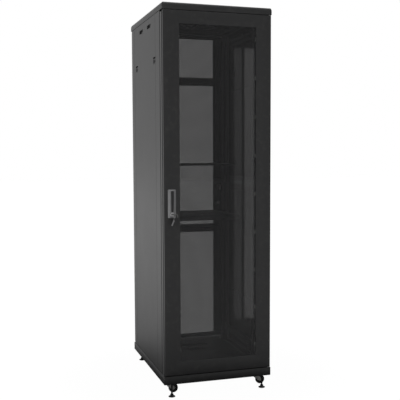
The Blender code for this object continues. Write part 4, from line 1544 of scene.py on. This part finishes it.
class CABINET_OT_posts(bpy.types.Operator):
    """Corner posts of folded sheet with rows of square holes, and the ring at their head"""

    bl_idname = "cabinet.posts"
    bl_label = "Corner Posts"

    def execute(self, context):
        for side, end in CORNERS:
            name = corner_name(side, end)
            low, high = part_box(f"corner_post_{name}")
            made = Shape()
            outer, inner = (high.x, low.x) if side > 0 else (low.x, high.x)
            near, far = (low.y, high.y) if end < 0 else (high.y, low.y)
            lip = outer - side * 0.03
            path = [(inner, near), (outer, near), (outer, far), (lip, far)]
            if side * end > 0:
                path = path[::-1]
            folded_upright(made, path, low.z, high.z, 0.0019, 0.003)
            comb = Shape()
            across = sorted((outer - side * 0.018, outer - side * 0.026))
            for step in range(15):
                height = low.z + 0.07 + step * 0.125
                start = min(far, far - end * -0.004) - 0.006
                comb.block((across[0], start, height), (across[1], far + 0.006, height + 0.008), 0.0001)
            finished(f"corner_post_{name}", "folded", made, "inner_paint", cuts=[comb])
        self.head_ring()
        return {"FINISHED"}

    def head_ring(self):
        low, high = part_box("top_frame")
        band = 0.055
        opening = (low.x + band, high.x - band, low.y + band, high.y - band)

        def outer(inset, height):
            return ring(level_spread((low, high)), inset, max(0.003 - inset, 0.0003), height)

        def inner(outset, height):
            return ring(opening, -outset, 0.002, height)

        made = Shape()
        loops = [
            outer(0.0, high.z), outer(0.0, low.z + 0.003), outer(0.0009, low.z + 0.0009),
            outer(0.003, low.z), inner(0.002, low.z), inner(0.0, low.z + 0.001), inner(0.0, low.z + 0.02),
            inner(0.002, low.z + 0.02), inner(0.002, low.z + 0.002), outer(0.004, low.z + 0.002),
            outer(0.002, low.z + 0.004), outer(0.002, high.z)
        ]
        made.loft(loops, closed=True)
        spots = [(x, y, -low.z) for x in (low.x + 0.025, high.x - 0.025) for y in (
            low.y + 0.014, low.y + 0.044, high.y - 0.044, high.y - 0.014
        )]
        under = Shape(underside)
        fixings(under, flipped(hex_bolt(0.008, 0.004)), spots, 0)
        made.add(under.corners, under.faces, 1)
        piece("top_ring_folded", made, ["inner_paint", "zinc"], "cabinet", ["top_frame"])


class CABINET_OT_rails(bpy.types.Operator):
    """Rack rails: 42 units of three square holes each, with a folded return"""

    bl_idname = "cabinet.rails"
    bl_label = "Rack Rails"

    def execute(self, context):
        sizes = context.scene.cabinet_sizes
        unit, hole = sizes.rack_unit, sizes.rail_hole
        for side, end in CORNERS:
            name = corner_name(side, end)
            low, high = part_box(f"rack_rail_{name}")
            width = high.x - low.x
            centre = 0.0195
            across = [0.0, centre - hole / 2, centre + hole / 2, width - 0.003]
            up = [0.0]
            for spot in (0.00635, 0.022225, 0.0381):
                up += [spot - hole / 2, spot + hole / 2]
            up.append(unit)
            open_cells = [(1, row) for row in (1, 3, 5)]
            if side < 0:
                across = [-value for value in reversed(across)]
            tile = grid_cell(across, up, open_cells, 0.0, 0.0019)
            units = 42
            foot = (low.z + high.z) / 2 - units * unit / 2
            near = low.y if end < 0 else high.y
            inner = low.x if side > 0 else high.x
            place = (
                lambda u, v, depth, y=near: (u, y + depth, v)
            ) if end < 0 else (lambda u, v, depth, y=near: (u, y - depth, v))
            made = Shape(place)
            mesh = repeated(tile, 1, units, 0.01, unit)
            moved(made, mesh, inner, foot)
            for gap_low, gap_high in ((low.z, foot), (foot + units * unit, high.z)):
                ends = sorted((inner, inner + side * (width - 0.003)))
                made.block((ends[0], gap_low, 0.0), (ends[1], gap_high, 0.0019), 0.0001)
            outer = inner + side * width
            swing = [(1 - math.sin(turn), 1 - math.cos(turn)) for turn in quarter(4)]
            fold = [(outer - side * 0.003 * u, 0.003 * depth) for u, depth in swing]
            back = [(outer, 0.0348), (outer - side * 0.0019, 0.0348)]
            inside = [(outer - side * (0.0019 + 0.0011 * u), 0.0019 + 0.0011 * depth) for u, depth in swing]
            section = fold + back + inside[::-1]
            made.lengthwise(section, low.z, high.z)
            finished(f"rack_rail_{name}", "punched", made, "rail_paint")
        return {"FINISHED"}


class CABINET_OT_braces(bpy.types.Operator):
    """Bars from front to rear with oblong holes and folded flanges; their bolts to the posts and rails are
    not drawn
    """

    bl_idname = "cabinet.braces"
    bl_label = "Depth Braces"

    def execute(self, context):
        slot = outline(-0.011, 0.011, -0.0035, 0.0035, 0.0034, 3)
        rim = outline(-0.018, 0.018, -0.018, 0.018, 0.0002, 3)
        for side, word in ((-1, "left"), (1, "right")):
            for level in ("lower", "middle", "upper"):
                low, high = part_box(f"depth_brace_{word}_{level}")
                inner = low.x if side > 0 else high.x
                place = lambda u, v, depth, x=inner, way=side: (x + way * depth, u, v)
                made = Shape(place)
                count = int((high.y - low.y) / 0.036)
                tile = pierced(rim, slot, 0.0, 0.0019)
                start = (low.y + high.y) / 2 - (count - 1) * 0.018
                middle = (low.z + high.z) / 2
                moved(made, repeated(tile, count, 1, 0.036, 0.01), start, middle)
                for ends in ((low.y, start - 0.018), (start + (count - 1) * 0.036 + 0.018, high.y)):
                    made.block((ends[0], middle - 0.018, 0.0), (ends[1], middle + 0.018, 0.0019), 0.0002)
                for height, way in ((low.z, 1), (high.z, -1)):
                    flange = 0.0118 if way < 0 else 0.0019
                    section = [
                        (middle - way * 0.018, 0.0), (height + way * 0.0006, 0.0), (height, 0.0006),
                        (height, flange), (height + way * 0.0018, flange), (height + way * 0.0018, 0.0019),
                        (middle - way * 0.018, 0.0019)
                    ]
                    made.crosswise(section, low.y, high.y)
                finished(f"depth_brace_{word}_{level}", "slotted", made, "inner_paint")
        return {"FINISHED"}


class CABINET_OT_shelves(bpy.types.Operator):
    """Vented trays on the rear rails, with folded lips, ears and bolts"""

    bl_idname = "cabinet.shelves"
    bl_label = "Shelves"

    def execute(self, context):
        for word, lip in (("upper", 0.01), ("lower", 0.027)):
            self.tray(word, lip)
        return {"FINISHED"}

    def tray(self, word, lip):
        low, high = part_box(f"shelf_{word}")
        half = 0.2225
        top = high.z
        made = Shape(lambda u, v, depth: (u, v, top - depth))
        pitch_u, pitch_v = 0.04, 0.016
        slot = outline(-0.015, 0.015, -0.003, 0.003, 0.0029, 3)
        rim = outline(-pitch_u / 2, pitch_u / 2, -pitch_v / 2, pitch_v / 2, 0.0002, 3)
        tile = pierced(rim, slot, 0.0, 0.0015)
        columns, rows = 9, int((high.y - low.y - 0.05) / pitch_v)
        left, start = -(columns - 1) * pitch_u / 2, (low.y + high.y) / 2 - (rows - 1) * pitch_v / 2
        moved(made, repeated(tile, columns, rows, pitch_u, pitch_v), left, start)
        inner = (
            left - pitch_u / 2, -left + pitch_u / 2, start - pitch_v / 2, start + (rows - 0.5) * pitch_v
        )

        def loop(inset, depth):
            return ring((-half, half, low.y, high.y), inset, max(0.0022 - inset, 0.0002), depth)

        loops = [
            at_depth(outline(*inner, 0.0002), 0.0), loop(0.0022, 0.0), loop(0.0007, 0.0006),
            loop(0.0, 0.0022)
        ]
        loops += [loop(0.0, lip - 0.0004), loop(0.0004, lip), loop(0.0011, lip), loop(0.0015, lip - 0.0004)]
        loops += [loop(0.0015, 0.003), loop(0.003, 0.0015), at_depth(outline(*inner, 0.0002), 0.0015)]
        made.loft(loops, capped=False)
        ear_near, ear_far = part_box(
            "rack_rail_rear_left"
        )[1].y + 0.0003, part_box("rack_rail_rear_left")[1].y + 0.0023
        spots = []
        for side in (-1, 1):
            ends = sorted((side * (half - 0.0012), side * 0.2565))
            made.block((ends[0], ear_near, 0.0006), (ends[1], ear_far, 0.044), 0.0004)
            spots += [(side * 0.245, ear_far, top - 0.0125), (side * 0.245, ear_far, top - 0.033)]
        bolts = Shape(lambda u, v, depth: (u, depth, v))
        fixings(bolts, flipped(hex_bolt(0.009, 0.0045)), [(x, z, y) for x, y, z in spots], 0)
        body = Shape()
        body.add(made.corners, made.faces)
        body.add(bolts.corners, bolts.faces, 1)
        finished(f"shelf_{word}", "vented", body, ["inner_paint", "zinc"])


# How far a wheel stands behind its castor's swivel
TRAIL = 0.02
# The floor's cable opening: low and high across, low and high along
SLOT = (-0.1, 0.1, 0.16, 0.25)


class CABINET_OT_base(bpy.types.Operator):
    """The base frame with castor plates, and the floor with its sliding cable entry"""

    bl_idname = "cabinet.base"
    bl_label = "Base"

    def execute(self, context):
        low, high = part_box("base_frame")
        foot = 0.07
        opening = (low.x + 0.062, high.x - 0.062, low.y + 0.124, high.y - 0.124)

        def outer(inset, height):
            return ring(level_spread((low, high)), inset, max(0.003 - inset, 0.0003), height)

        def inner(outset, height):
            return ring(opening, -outset, 0.003, height)

        head = high.z
        loops = [
            inner(0.0, head), outer(0.003, head), outer(0.0009, head - 0.0009), outer(0.0, head - 0.003),
            outer(0.0, foot + 0.003), outer(0.0009, foot + 0.0009), outer(0.003, foot), inner(0.0, foot),
            inner(0.0, foot + 0.002), outer(0.005, foot + 0.002), outer(0.002, foot + 0.005),
            outer(0.002, head - 0.005), outer(0.005, head - 0.002), inner(0.0, head - 0.002)
        ]
        made = Shape()
        made.loft(loops, closed=True)
        spots = []
        for side, end in CORNERS:
            name = corner_name(side, end)
            wheel_x = middle_of(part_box(f"castor_wheel_{name}"))[0]
            centre = (wheel_x - TRAIL, middle_of(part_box(f"castor_fork_{name}"))[1])
            made.block(
                (centre[0] - 0.0278, centre[1] - 0.0278, foot - 0.0027),
                (centre[0] + 0.0278, centre[1] + 0.0278, foot + 0.0005), 0.0007, 0.005, kind=1
            )
            spots += [
                (centre[0] + a * 0.0235, centre[1] + b * 0.0235, -(foot + 0.002))
                for a in (-1, 1)
                for b in (-1, 1)
            ]
            stand = middle_of(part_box(f"levelling_foot_{name}"))
            nut = circle(stand, 0.0098, 6)
            bore = circle(stand, 0.0054, 6)
            made.loft([
                at_depth(nut, foot + 0.0019), at_depth(nut, foot + 0.009), at_depth(bore, foot + 0.009),
                at_depth(bore, foot + 0.0019)
            ], closed=True, kind=1)
        nuts = Shape(underside)
        fixings(nuts, hex_bolt(0.0075, 0.0045), spots, 0)
        made.add(nuts.corners, nuts.faces, 1)
        for side in (-1, 1):
            for along in (-0.2, 0.2):
                self.bracket(made, side, along, head)
        finished("base_frame", "folded", made, ["base_paint", "zinc"])
        self.floor()
        return {"FINISHED"}

    def bracket(self, made, side, along, head):
        """A folded gusset inside the base's long side."""
        x = side * (HALF - 0.0022)
        ends = sorted((x, x - side * 0.045))
        made.block((ends[0], along - 0.001, 0.0722), (ends[1], along + 0.001, head - 0.0022), 0.0003)

    def floor(self):
        low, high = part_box("floor_plate")
        slide_low, slide_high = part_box("cable_entry_slide")
        top = high.z
        made = Shape()
        spots = [
            (x, y)
            for x in (low.x + 0.02, high.x - 0.02)
            for y in (low.y + 0.03, high.y - 0.03, low.y + 0.33)
        ]
        made.block((low.x, low.y, low.z), (high.x, high.y, high.z), 0.0004, 0.006)
        slot = Shape()
        slot.block((SLOT[0], SLOT[2], low.z - 0.01), (SLOT[1], SLOT[3], high.z + 0.01), 0.0001, 0.008)
        heads = Shape(underside)
        fixings(heads, pan_screw(0.004, 0.002), [(x, y, -top) for x, y in spots], 0)
        made.add(heads.corners, heads.faces, 1)
        edging = Shape()
        rim = ((0.0, 0.001), (0.0022, 0.001), (0.0022, 0.0001), (0.0001, 0.0001))
        edging.loft([ring(SLOT, -grow, 0.008 + grow, low.z - drop, 5) for grow, drop in rim], closed=True)
        finished("floor_plate", "folded", made, ["inner_paint", "zinc"], cuts=[slot])
        piece("cable_slot_edging", edging, "rubber")
        slide = Shape()
        slide.block(
            (slide_low.x, slide_low.y, slide_low.z), (slide_high.x, slide_high.y, slide_low.z + SHEET),
            0.0004, 0.004
        )
        slide.block(
            (-0.03, slide_low.y, slide_low.z + 0.0005), (0.03, slide_low.y + 0.0019, slide_high.z), 0.0006
        )
        slide.wire([
            (-0.029, slide_low.y + 0.0014, slide_high.z - 0.0013),
            (0.029, slide_low.y + 0.0014, slide_high.z - 0.0013)
        ], 0.0013, 8)
        slide.block((
            slide_low.x + 0.004, slide_high.y - 0.01, slide_low.z + 0.0012
        ), (slide_high.x - 0.004, slide_high.y - 0.0005, slide_low.z + 0.006), 0.001, kind=1)
        finished("cable_entry_slide", "plate", slide, ["black_paint", "rubber"], "cable_entry")


class CABINET_OT_running_gear(bpy.types.Operator):
    """Castors, levelling feet and hinge pins"""

    bl_idname = "cabinet.running_gear"
    bl_label = "Castors and Feet"

    def execute(self, context):
        for side, end in CORNERS:
            name = corner_name(side, end)
            self.fork(name)
            self.wheel(name)
            self.foot(name)
        for word in ("front", "rear"):
            for level in ("lower", "upper"):
                self.pin(word, level)
        return {"FINISHED"}

    def fork(self, name):
        """Pressed fork under a ball race, with its axle and nut."""
        low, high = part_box(f"castor_fork_{name}")
        wheel_low, wheel_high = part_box(f"castor_wheel_{name}")
        y = (low.y + high.y) / 2
        wheel_x, axle = (wheel_low.x + wheel_high.x) / 2, (wheel_low.z + wheel_high.z) / 2
        head = high.z
        race = [
            (0.0225, head), (0.0235, head - 0.0008), (0.0235, head - 0.003), (0.0215, head - 0.0038),
            (0.0215, head - 0.0045), (0.0228, head - 0.0052), (0.022, head - 0.0074), (0.012, head - 0.0076)
        ]
        made = Shape()
        made.turned((wheel_x - TRAIL, y), race, 40)
        cheek_in = (wheel_high.y - wheel_low.y) / 2 + 0.001
        cheek_out = cheek_in + 0.0019
        profile = [
            (-0.043, head - 0.0062), (-0.0422, head - 0.013), (-0.034, axle + 0.012), (-0.012, axle - 0.004),
            (-0.006, axle - 0.007), (0.0, axle - 0.008), (0.005, axle - 0.0062), (0.0078, axle),
            (0.005, axle + 0.007), (-0.01, axle + 0.02), (-0.014, head - 0.0062)
        ]
        for side in (-1, 1):
            near, far = y + side * cheek_in, y + side * cheek_out
            made.loft([[(wheel_x + u, at, v) for u, v in profile] for at in (near, far)])
        top_low = (wheel_x - 0.043, y - cheek_out, head - 0.0084)
        top_high = (wheel_x - 0.014, y + cheek_out, head - 0.0062)
        made.block(top_low, top_high, 0.0006, 0.002)
        reach = cheek_out + 0.0001
        made.wire([(wheel_x, y - reach - 0.0004, axle), (wheel_x, y + reach + 0.0004, axle)], 0.0039, 18)
        for side, radius, thick in ((-1, 0.0058, 0.0028), (1, 0.0055, 0.0026)):
            start = y + side * reach
            made.wire([(wheel_x, start, axle), (wheel_x, start + side * thick, axle)], radius, 6)
        piece(f"castor_{name}_fork", made, "zinc", f"castor_{name}", [f"castor_fork_{name}"])

    def wheel(self, name):
        """A tyre on a spoked centre."""
        low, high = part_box(f"castor_wheel_{name}")
        x, y, z = (low.x + high.x) / 2, (low.y + high.y) / 2, (low.z + high.z) / 2
        half = (high.y - low.y) / 2
        made = Shape(lambda u, v, depth: (x + u, y + depth, z + v))
        radius = (high.z - low.z) / 2
        side = [
            (0.0192, half - 0.0022), (0.02, half - 0.0004), (radius - 0.0022, half - 0.0002),
            (radius - 0.0006, half - 0.0014), (radius, half - 0.0034)
        ]
        tread = [(reach, -depth) for reach, depth in side] + side[::-1]
        made.loft(
            [at_depth(circle((0, 0), reach, 48), depth) for reach, depth in tread], closed=True, kind=0
        )
        face = [
            (0.0043, half), (0.0085, half), (0.009, half - 0.0008), (0.009, half - 0.004),
            (0.017, half - 0.0044), (0.018, half - 0.001), (0.0193, half - 0.001)
        ]
        hub = [(reach, -depth) for reach, depth in face] + face[::-1]
        made.loft([at_depth(circle((0, 0), reach, 36), depth) for reach, depth in hub], closed=True, kind=1)
        for spoke in range(6):
            turn = math.pi / 3 * spoke
            cos, sin = math.cos(turn), math.sin(turn)
            corners = []
            for reach, off in ((0.0088, -0.001), (0.0172, -0.0008), (0.0172, 0.0008), (0.0088, 0.001)):
                corners.append((reach * cos - off * sin, reach * sin + off * cos))
            made.prism(corners, -half + 0.0016, half - 0.0016, kind=1)
        piece(
            f"castor_{name}_wheel", made, ["rubber", "black_plastic"], f"castor_wheel_{name}",
            [f"castor_wheel_{name}"]
        )

    def foot(self, name):
        """A dished pad, its lock nut and a threaded stud."""
        low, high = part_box(f"levelling_foot_{name}")
        x, y = middle_of((low, high))
        radius = (high.x - low.x) / 2
        made = Shape()
        pad = [
            (radius - 0.002, 0.0), (radius - 0.0004, 0.0006), (radius, 0.0018), (radius, 0.0032),
            (radius - 0.0012, 0.0044), (0.01, 0.0062), (0.0074, 0.0078), (0.006, 0.008)
        ]
        made.turned((x, y), pad, 36, kind=0)
        made.turned(
            (x, y), [(0.0082, 0.0072), (0.0092, 0.0078), (0.0092, 0.0152), (0.0082, 0.0158)], 6, kind=1
        )
        thread = []
        count = 60
        for turn in range(count + 1):
            height = 0.015 + (high.z - 0.0006 - 0.015) * turn / count
            thread += [(0.00485, height - 0.0004), (0.0043, height)]
        thread.append((0.004, high.z))
        made.turned((x, y), thread, 14, kind=1)
        finished(
            f"levelling_foot_{name}", "screw", made, ["rubber", "dark_steel"], f"foot_{name}", slot="zinc"
        )

    def pin(self, word, level):
        low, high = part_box(f"{word}_hinge_pin_{level}")
        x, y = middle_of((low, high))
        radius = (high.x - low.x) / 2
        made = Shape()
        made.turned((x, y), [
            (radius - 0.0006, low.z), (radius, low.z + 0.0006), (radius, high.z - 0.0006),
            (radius - 0.0006, high.z)
        ], 24)
        made.turned((x, y), [
            (0.0065, low.z if level == "lower" else high.z - 0.0026),
            (0.0065, low.z + 0.0026 if level == "lower" else high.z)
        ], 24)
        finished(f"{word}_hinge_pin_{level}", "turned", made, "zinc")


# Stage


CAMERA_PLACE = (-1.21116, -4.1898, 1.29452)
CAMERA_YAW, CAMERA_PITCH, CAMERA_ROLL = 0.32363, 0.08152, -0.00066
CAMERA_LENS = 68.129
CAMERA_SHIFT = (-0.07528, 0.0352)


class CABINET_OT_stage(bpy.types.Operator):
    """Pale floor, even surroundings, soft lights and the camera"""

    bl_idname = "cabinet.stage"
    bl_label = "Stage"

    def execute(self, context):
        scene = context.scene
        scene.view_settings.view_transform = "Standard"
        self.floor()
        self.surroundings(scene)
        self.softbox("softbox_left", (-3.8, 1.2, 1.2), (-0.3, 0.0, 0.9), (3.4, 3.4), 15.0)
        front = self.softbox("softbox_front", (1.2, -4.4, 1.6), (0.0, -0.2, 1.1), (2.4, 2.4), 1.4)
        front.visible_glossy = False
        # Two tall lamps that the glass mirrors
        self.softbox("strip_wide", (0.761, -2.00, 1.045), (0.2, FRONT, 1.045), (0.072, 2.05), 0.59)
        self.softbox("strip_narrow", (0.671, -2.00, 1.045), (0.2, FRONT, 1.045), (0.055, 2.05), 0.22)
        self.softbox("softbox_top", (0.0, 0.2, 4.6), (0.0, 0.0, 0.0), (3.0, 3.0), 60.0)
        lens = bpy.data.cameras.new("camera")
        lens.lens = CAMERA_LENS
        lens.sensor_width = 36.0
        lens.shift_x, lens.shift_y = CAMERA_SHIFT
        lens.clip_end = 60.0
        camera = linked("camera", lens)
        turn = Matrix.Rotation(-CAMERA_YAW, 4, "Z") @ Matrix.Rotation(math.pi / 2 - CAMERA_PITCH, 4, "X")
        camera.matrix_world = Matrix.Translation(CAMERA_PLACE) @ turn @ Matrix.Rotation(CAMERA_ROLL, 4, "Z")
        scene.camera = camera
        return {"FINISHED"}

    def floor(self):
        mesh = bpy.data.meshes.new("floor")
        mesh.from_pydata([(-30, -30, 0), (30, -30, 0), (30, 30, 0), (-30, 30, 0)], [], [(0, 1, 2, 3)])
        floor = linked("floor", mesh)
        made = Finish("pale_floor", (0.8, 0.8, 0.8), 0.6, Specular_IOR_Level=0.1, Emission_Strength=1.0)
        seen = made.node("ShaderNodeLightPath", (), (), "Is Camera Ray")
        glow = made.node("ShaderNodeEmission", (), {"Color": (1.0, 1.0, 1.0, 1.0), "Strength": 1.06})
        # Painted shade: the floor's own colour is dark within half a metre of the cabinet's middle and pale
        # beyond 1.3 m, so the lower sides reflect a dark floor and a faint painted shadow rings the foot.
        distance = made.node("ShaderNodeVectorMath", {"operation": "LENGTH"}, {0: made.spot}, "Value")
        shade_ramp = distance.between(0.5, 1.3, True)
        # Painted light: for all but camera rays the floor glows on the cabinet's left, from 0.85 m out, and
        # lights the lower part of the left side as a lamp would.
        parts = made.node("ShaderNodeSeparateXYZ", (), {0: made.spot})
        painted_glow_left = (-1 * Wire(made, parts.socket.node.outputs["X"])).between(0.85, 1.7, True)
        made.give("Emission Color", made.mix(painted_glow_left, (0.0, 0.0, 0.0, 1.0), (0.6, 0.6, 0.6, 1.0)))
        made.give("Base Color", made.mix(shade_ramp, (0.1, 0.1, 0.1, 1.0), (0.75, 0.75, 0.75, 1.0)))
        shown = made.node(
            "ShaderNodeMixShader", (), {0: seen * 0.93, 1: Wire(made, made.shader.outputs[0]), 2: glow}
        )
        out = made.tree.nodes["Material Output"]
        made.tree.links.new(shown.socket, out.inputs["Surface"])
        mesh.materials.append(made.material)

    def surroundings(self, scene):
        """White behind the object, and for its reflections and shading a soft grey room."""
        world = bpy.data.worlds.new("room")
        world.use_nodes = True
        scene.world = world
        room = Sheet(world.node_tree)
        way = room.node("ShaderNodeTexCoord", (), (), "Generated")
        parts = room.node("ShaderNodeSeparateXYZ", (), {0: way})
        along = Wire(room, parts.socket.node.outputs["Y"])
        across = Wire(room, parts.socket.node.outputs["X"])
        up = Wire(room, parts.socket.node.outputs["Z"])
        back = along.between(0.2, 1.0, True)
        level = back * 0.25 + 0.29 + (-1 * across).between(0.0, 1.0) * 0.1 + up.between(0.0, 1.0) * 0.2
        shade = room.node("ShaderNodeBackground", (), {"Color": (1.0, 1.0, 1.0, 1.0), "Strength": level})
        white = room.node("ShaderNodeBackground", (), {"Color": (1.0, 1.0, 1.0, 1.0), "Strength": 1.0})
        seen = room.node("ShaderNodeLightPath", (), (), "Is Camera Ray")
        shown = room.node("ShaderNodeMixShader", (), {0: seen, 1: shade, 2: white})
        out = next(node for node in world.node_tree.nodes if node.type == "OUTPUT_WORLD")
        world.node_tree.links.new(shown.socket, out.inputs["Surface"])

    def softbox(self, name, place, target, size, watts):
        """A lamp of a given width and height, out of the camera's sight."""
        light = bpy.data.lights.new(name, "AREA")
        light.shape = "RECTANGLE"
        light.size, light.size_y = size
        light.energy = watts
        made = linked(name, light)
        made.location = place
        made.rotation_euler = (Vector(target) - made.location).to_track_quat("-Z", "Y").to_euler()
        made.visible_camera = False
        return made


class CABINET_PT_panel(bpy.types.Panel):
    """Sizes, colours and the pieces that can be built"""

    bl_idname = "CABINET_PT_panel"
    bl_label = "Network Cabinet"
    bl_space_type = "VIEW_3D"
    bl_region_type = "UI"
    bl_category = "Cabinet"

    def draw(self, context):
        for group in (context.scene.cabinet_sizes, context.scene.cabinet_colours):
            box = self.layout.box()
            for key in group.bl_rna.properties.keys():
                if key not in ("rna_type", "name"):
                    box.prop(group, key)
        for operator in OPERATORS:
            self.layout.operator(operator.bl_idname)


OPERATORS = (
    CABINET_OT_stage, CABINET_OT_front_door, CABINET_OT_rear_door, CABINET_OT_handles, CABINET_OT_keys,
    CABINET_OT_side_panels, CABINET_OT_top_cover, CABINET_OT_fans, CABINET_OT_posts, CABINET_OT_rails,
    CABINET_OT_braces, CABINET_OT_shelves, CABINET_OT_base, CABINET_OT_running_gear
)
CLASSES = (CabinetColours, CabinetSizes, *OPERATORS, CABINET_PT_panel)


def register():
    for each in CLASSES:
        bpy.utils.register_class(each)
    bpy.types.Scene.cabinet_colours = bpy.props.PointerProperty(type=CabinetColours)
    bpy.types.Scene.cabinet_sizes = bpy.props.PointerProperty(type=CabinetSizes)


def unregister():
    del bpy.types.Scene.cabinet_sizes
    del bpy.types.Scene.cabinet_colours
    for each in reversed(CLASSES):
        bpy.utils.unregister_class(each)


def main():
    register()
    for operator in OPERATORS:
        group, name = operator.bl_idname.split(".")
        getattr(getattr(bpy.ops, group), name)()


if __name__ == "__main__":
    main()
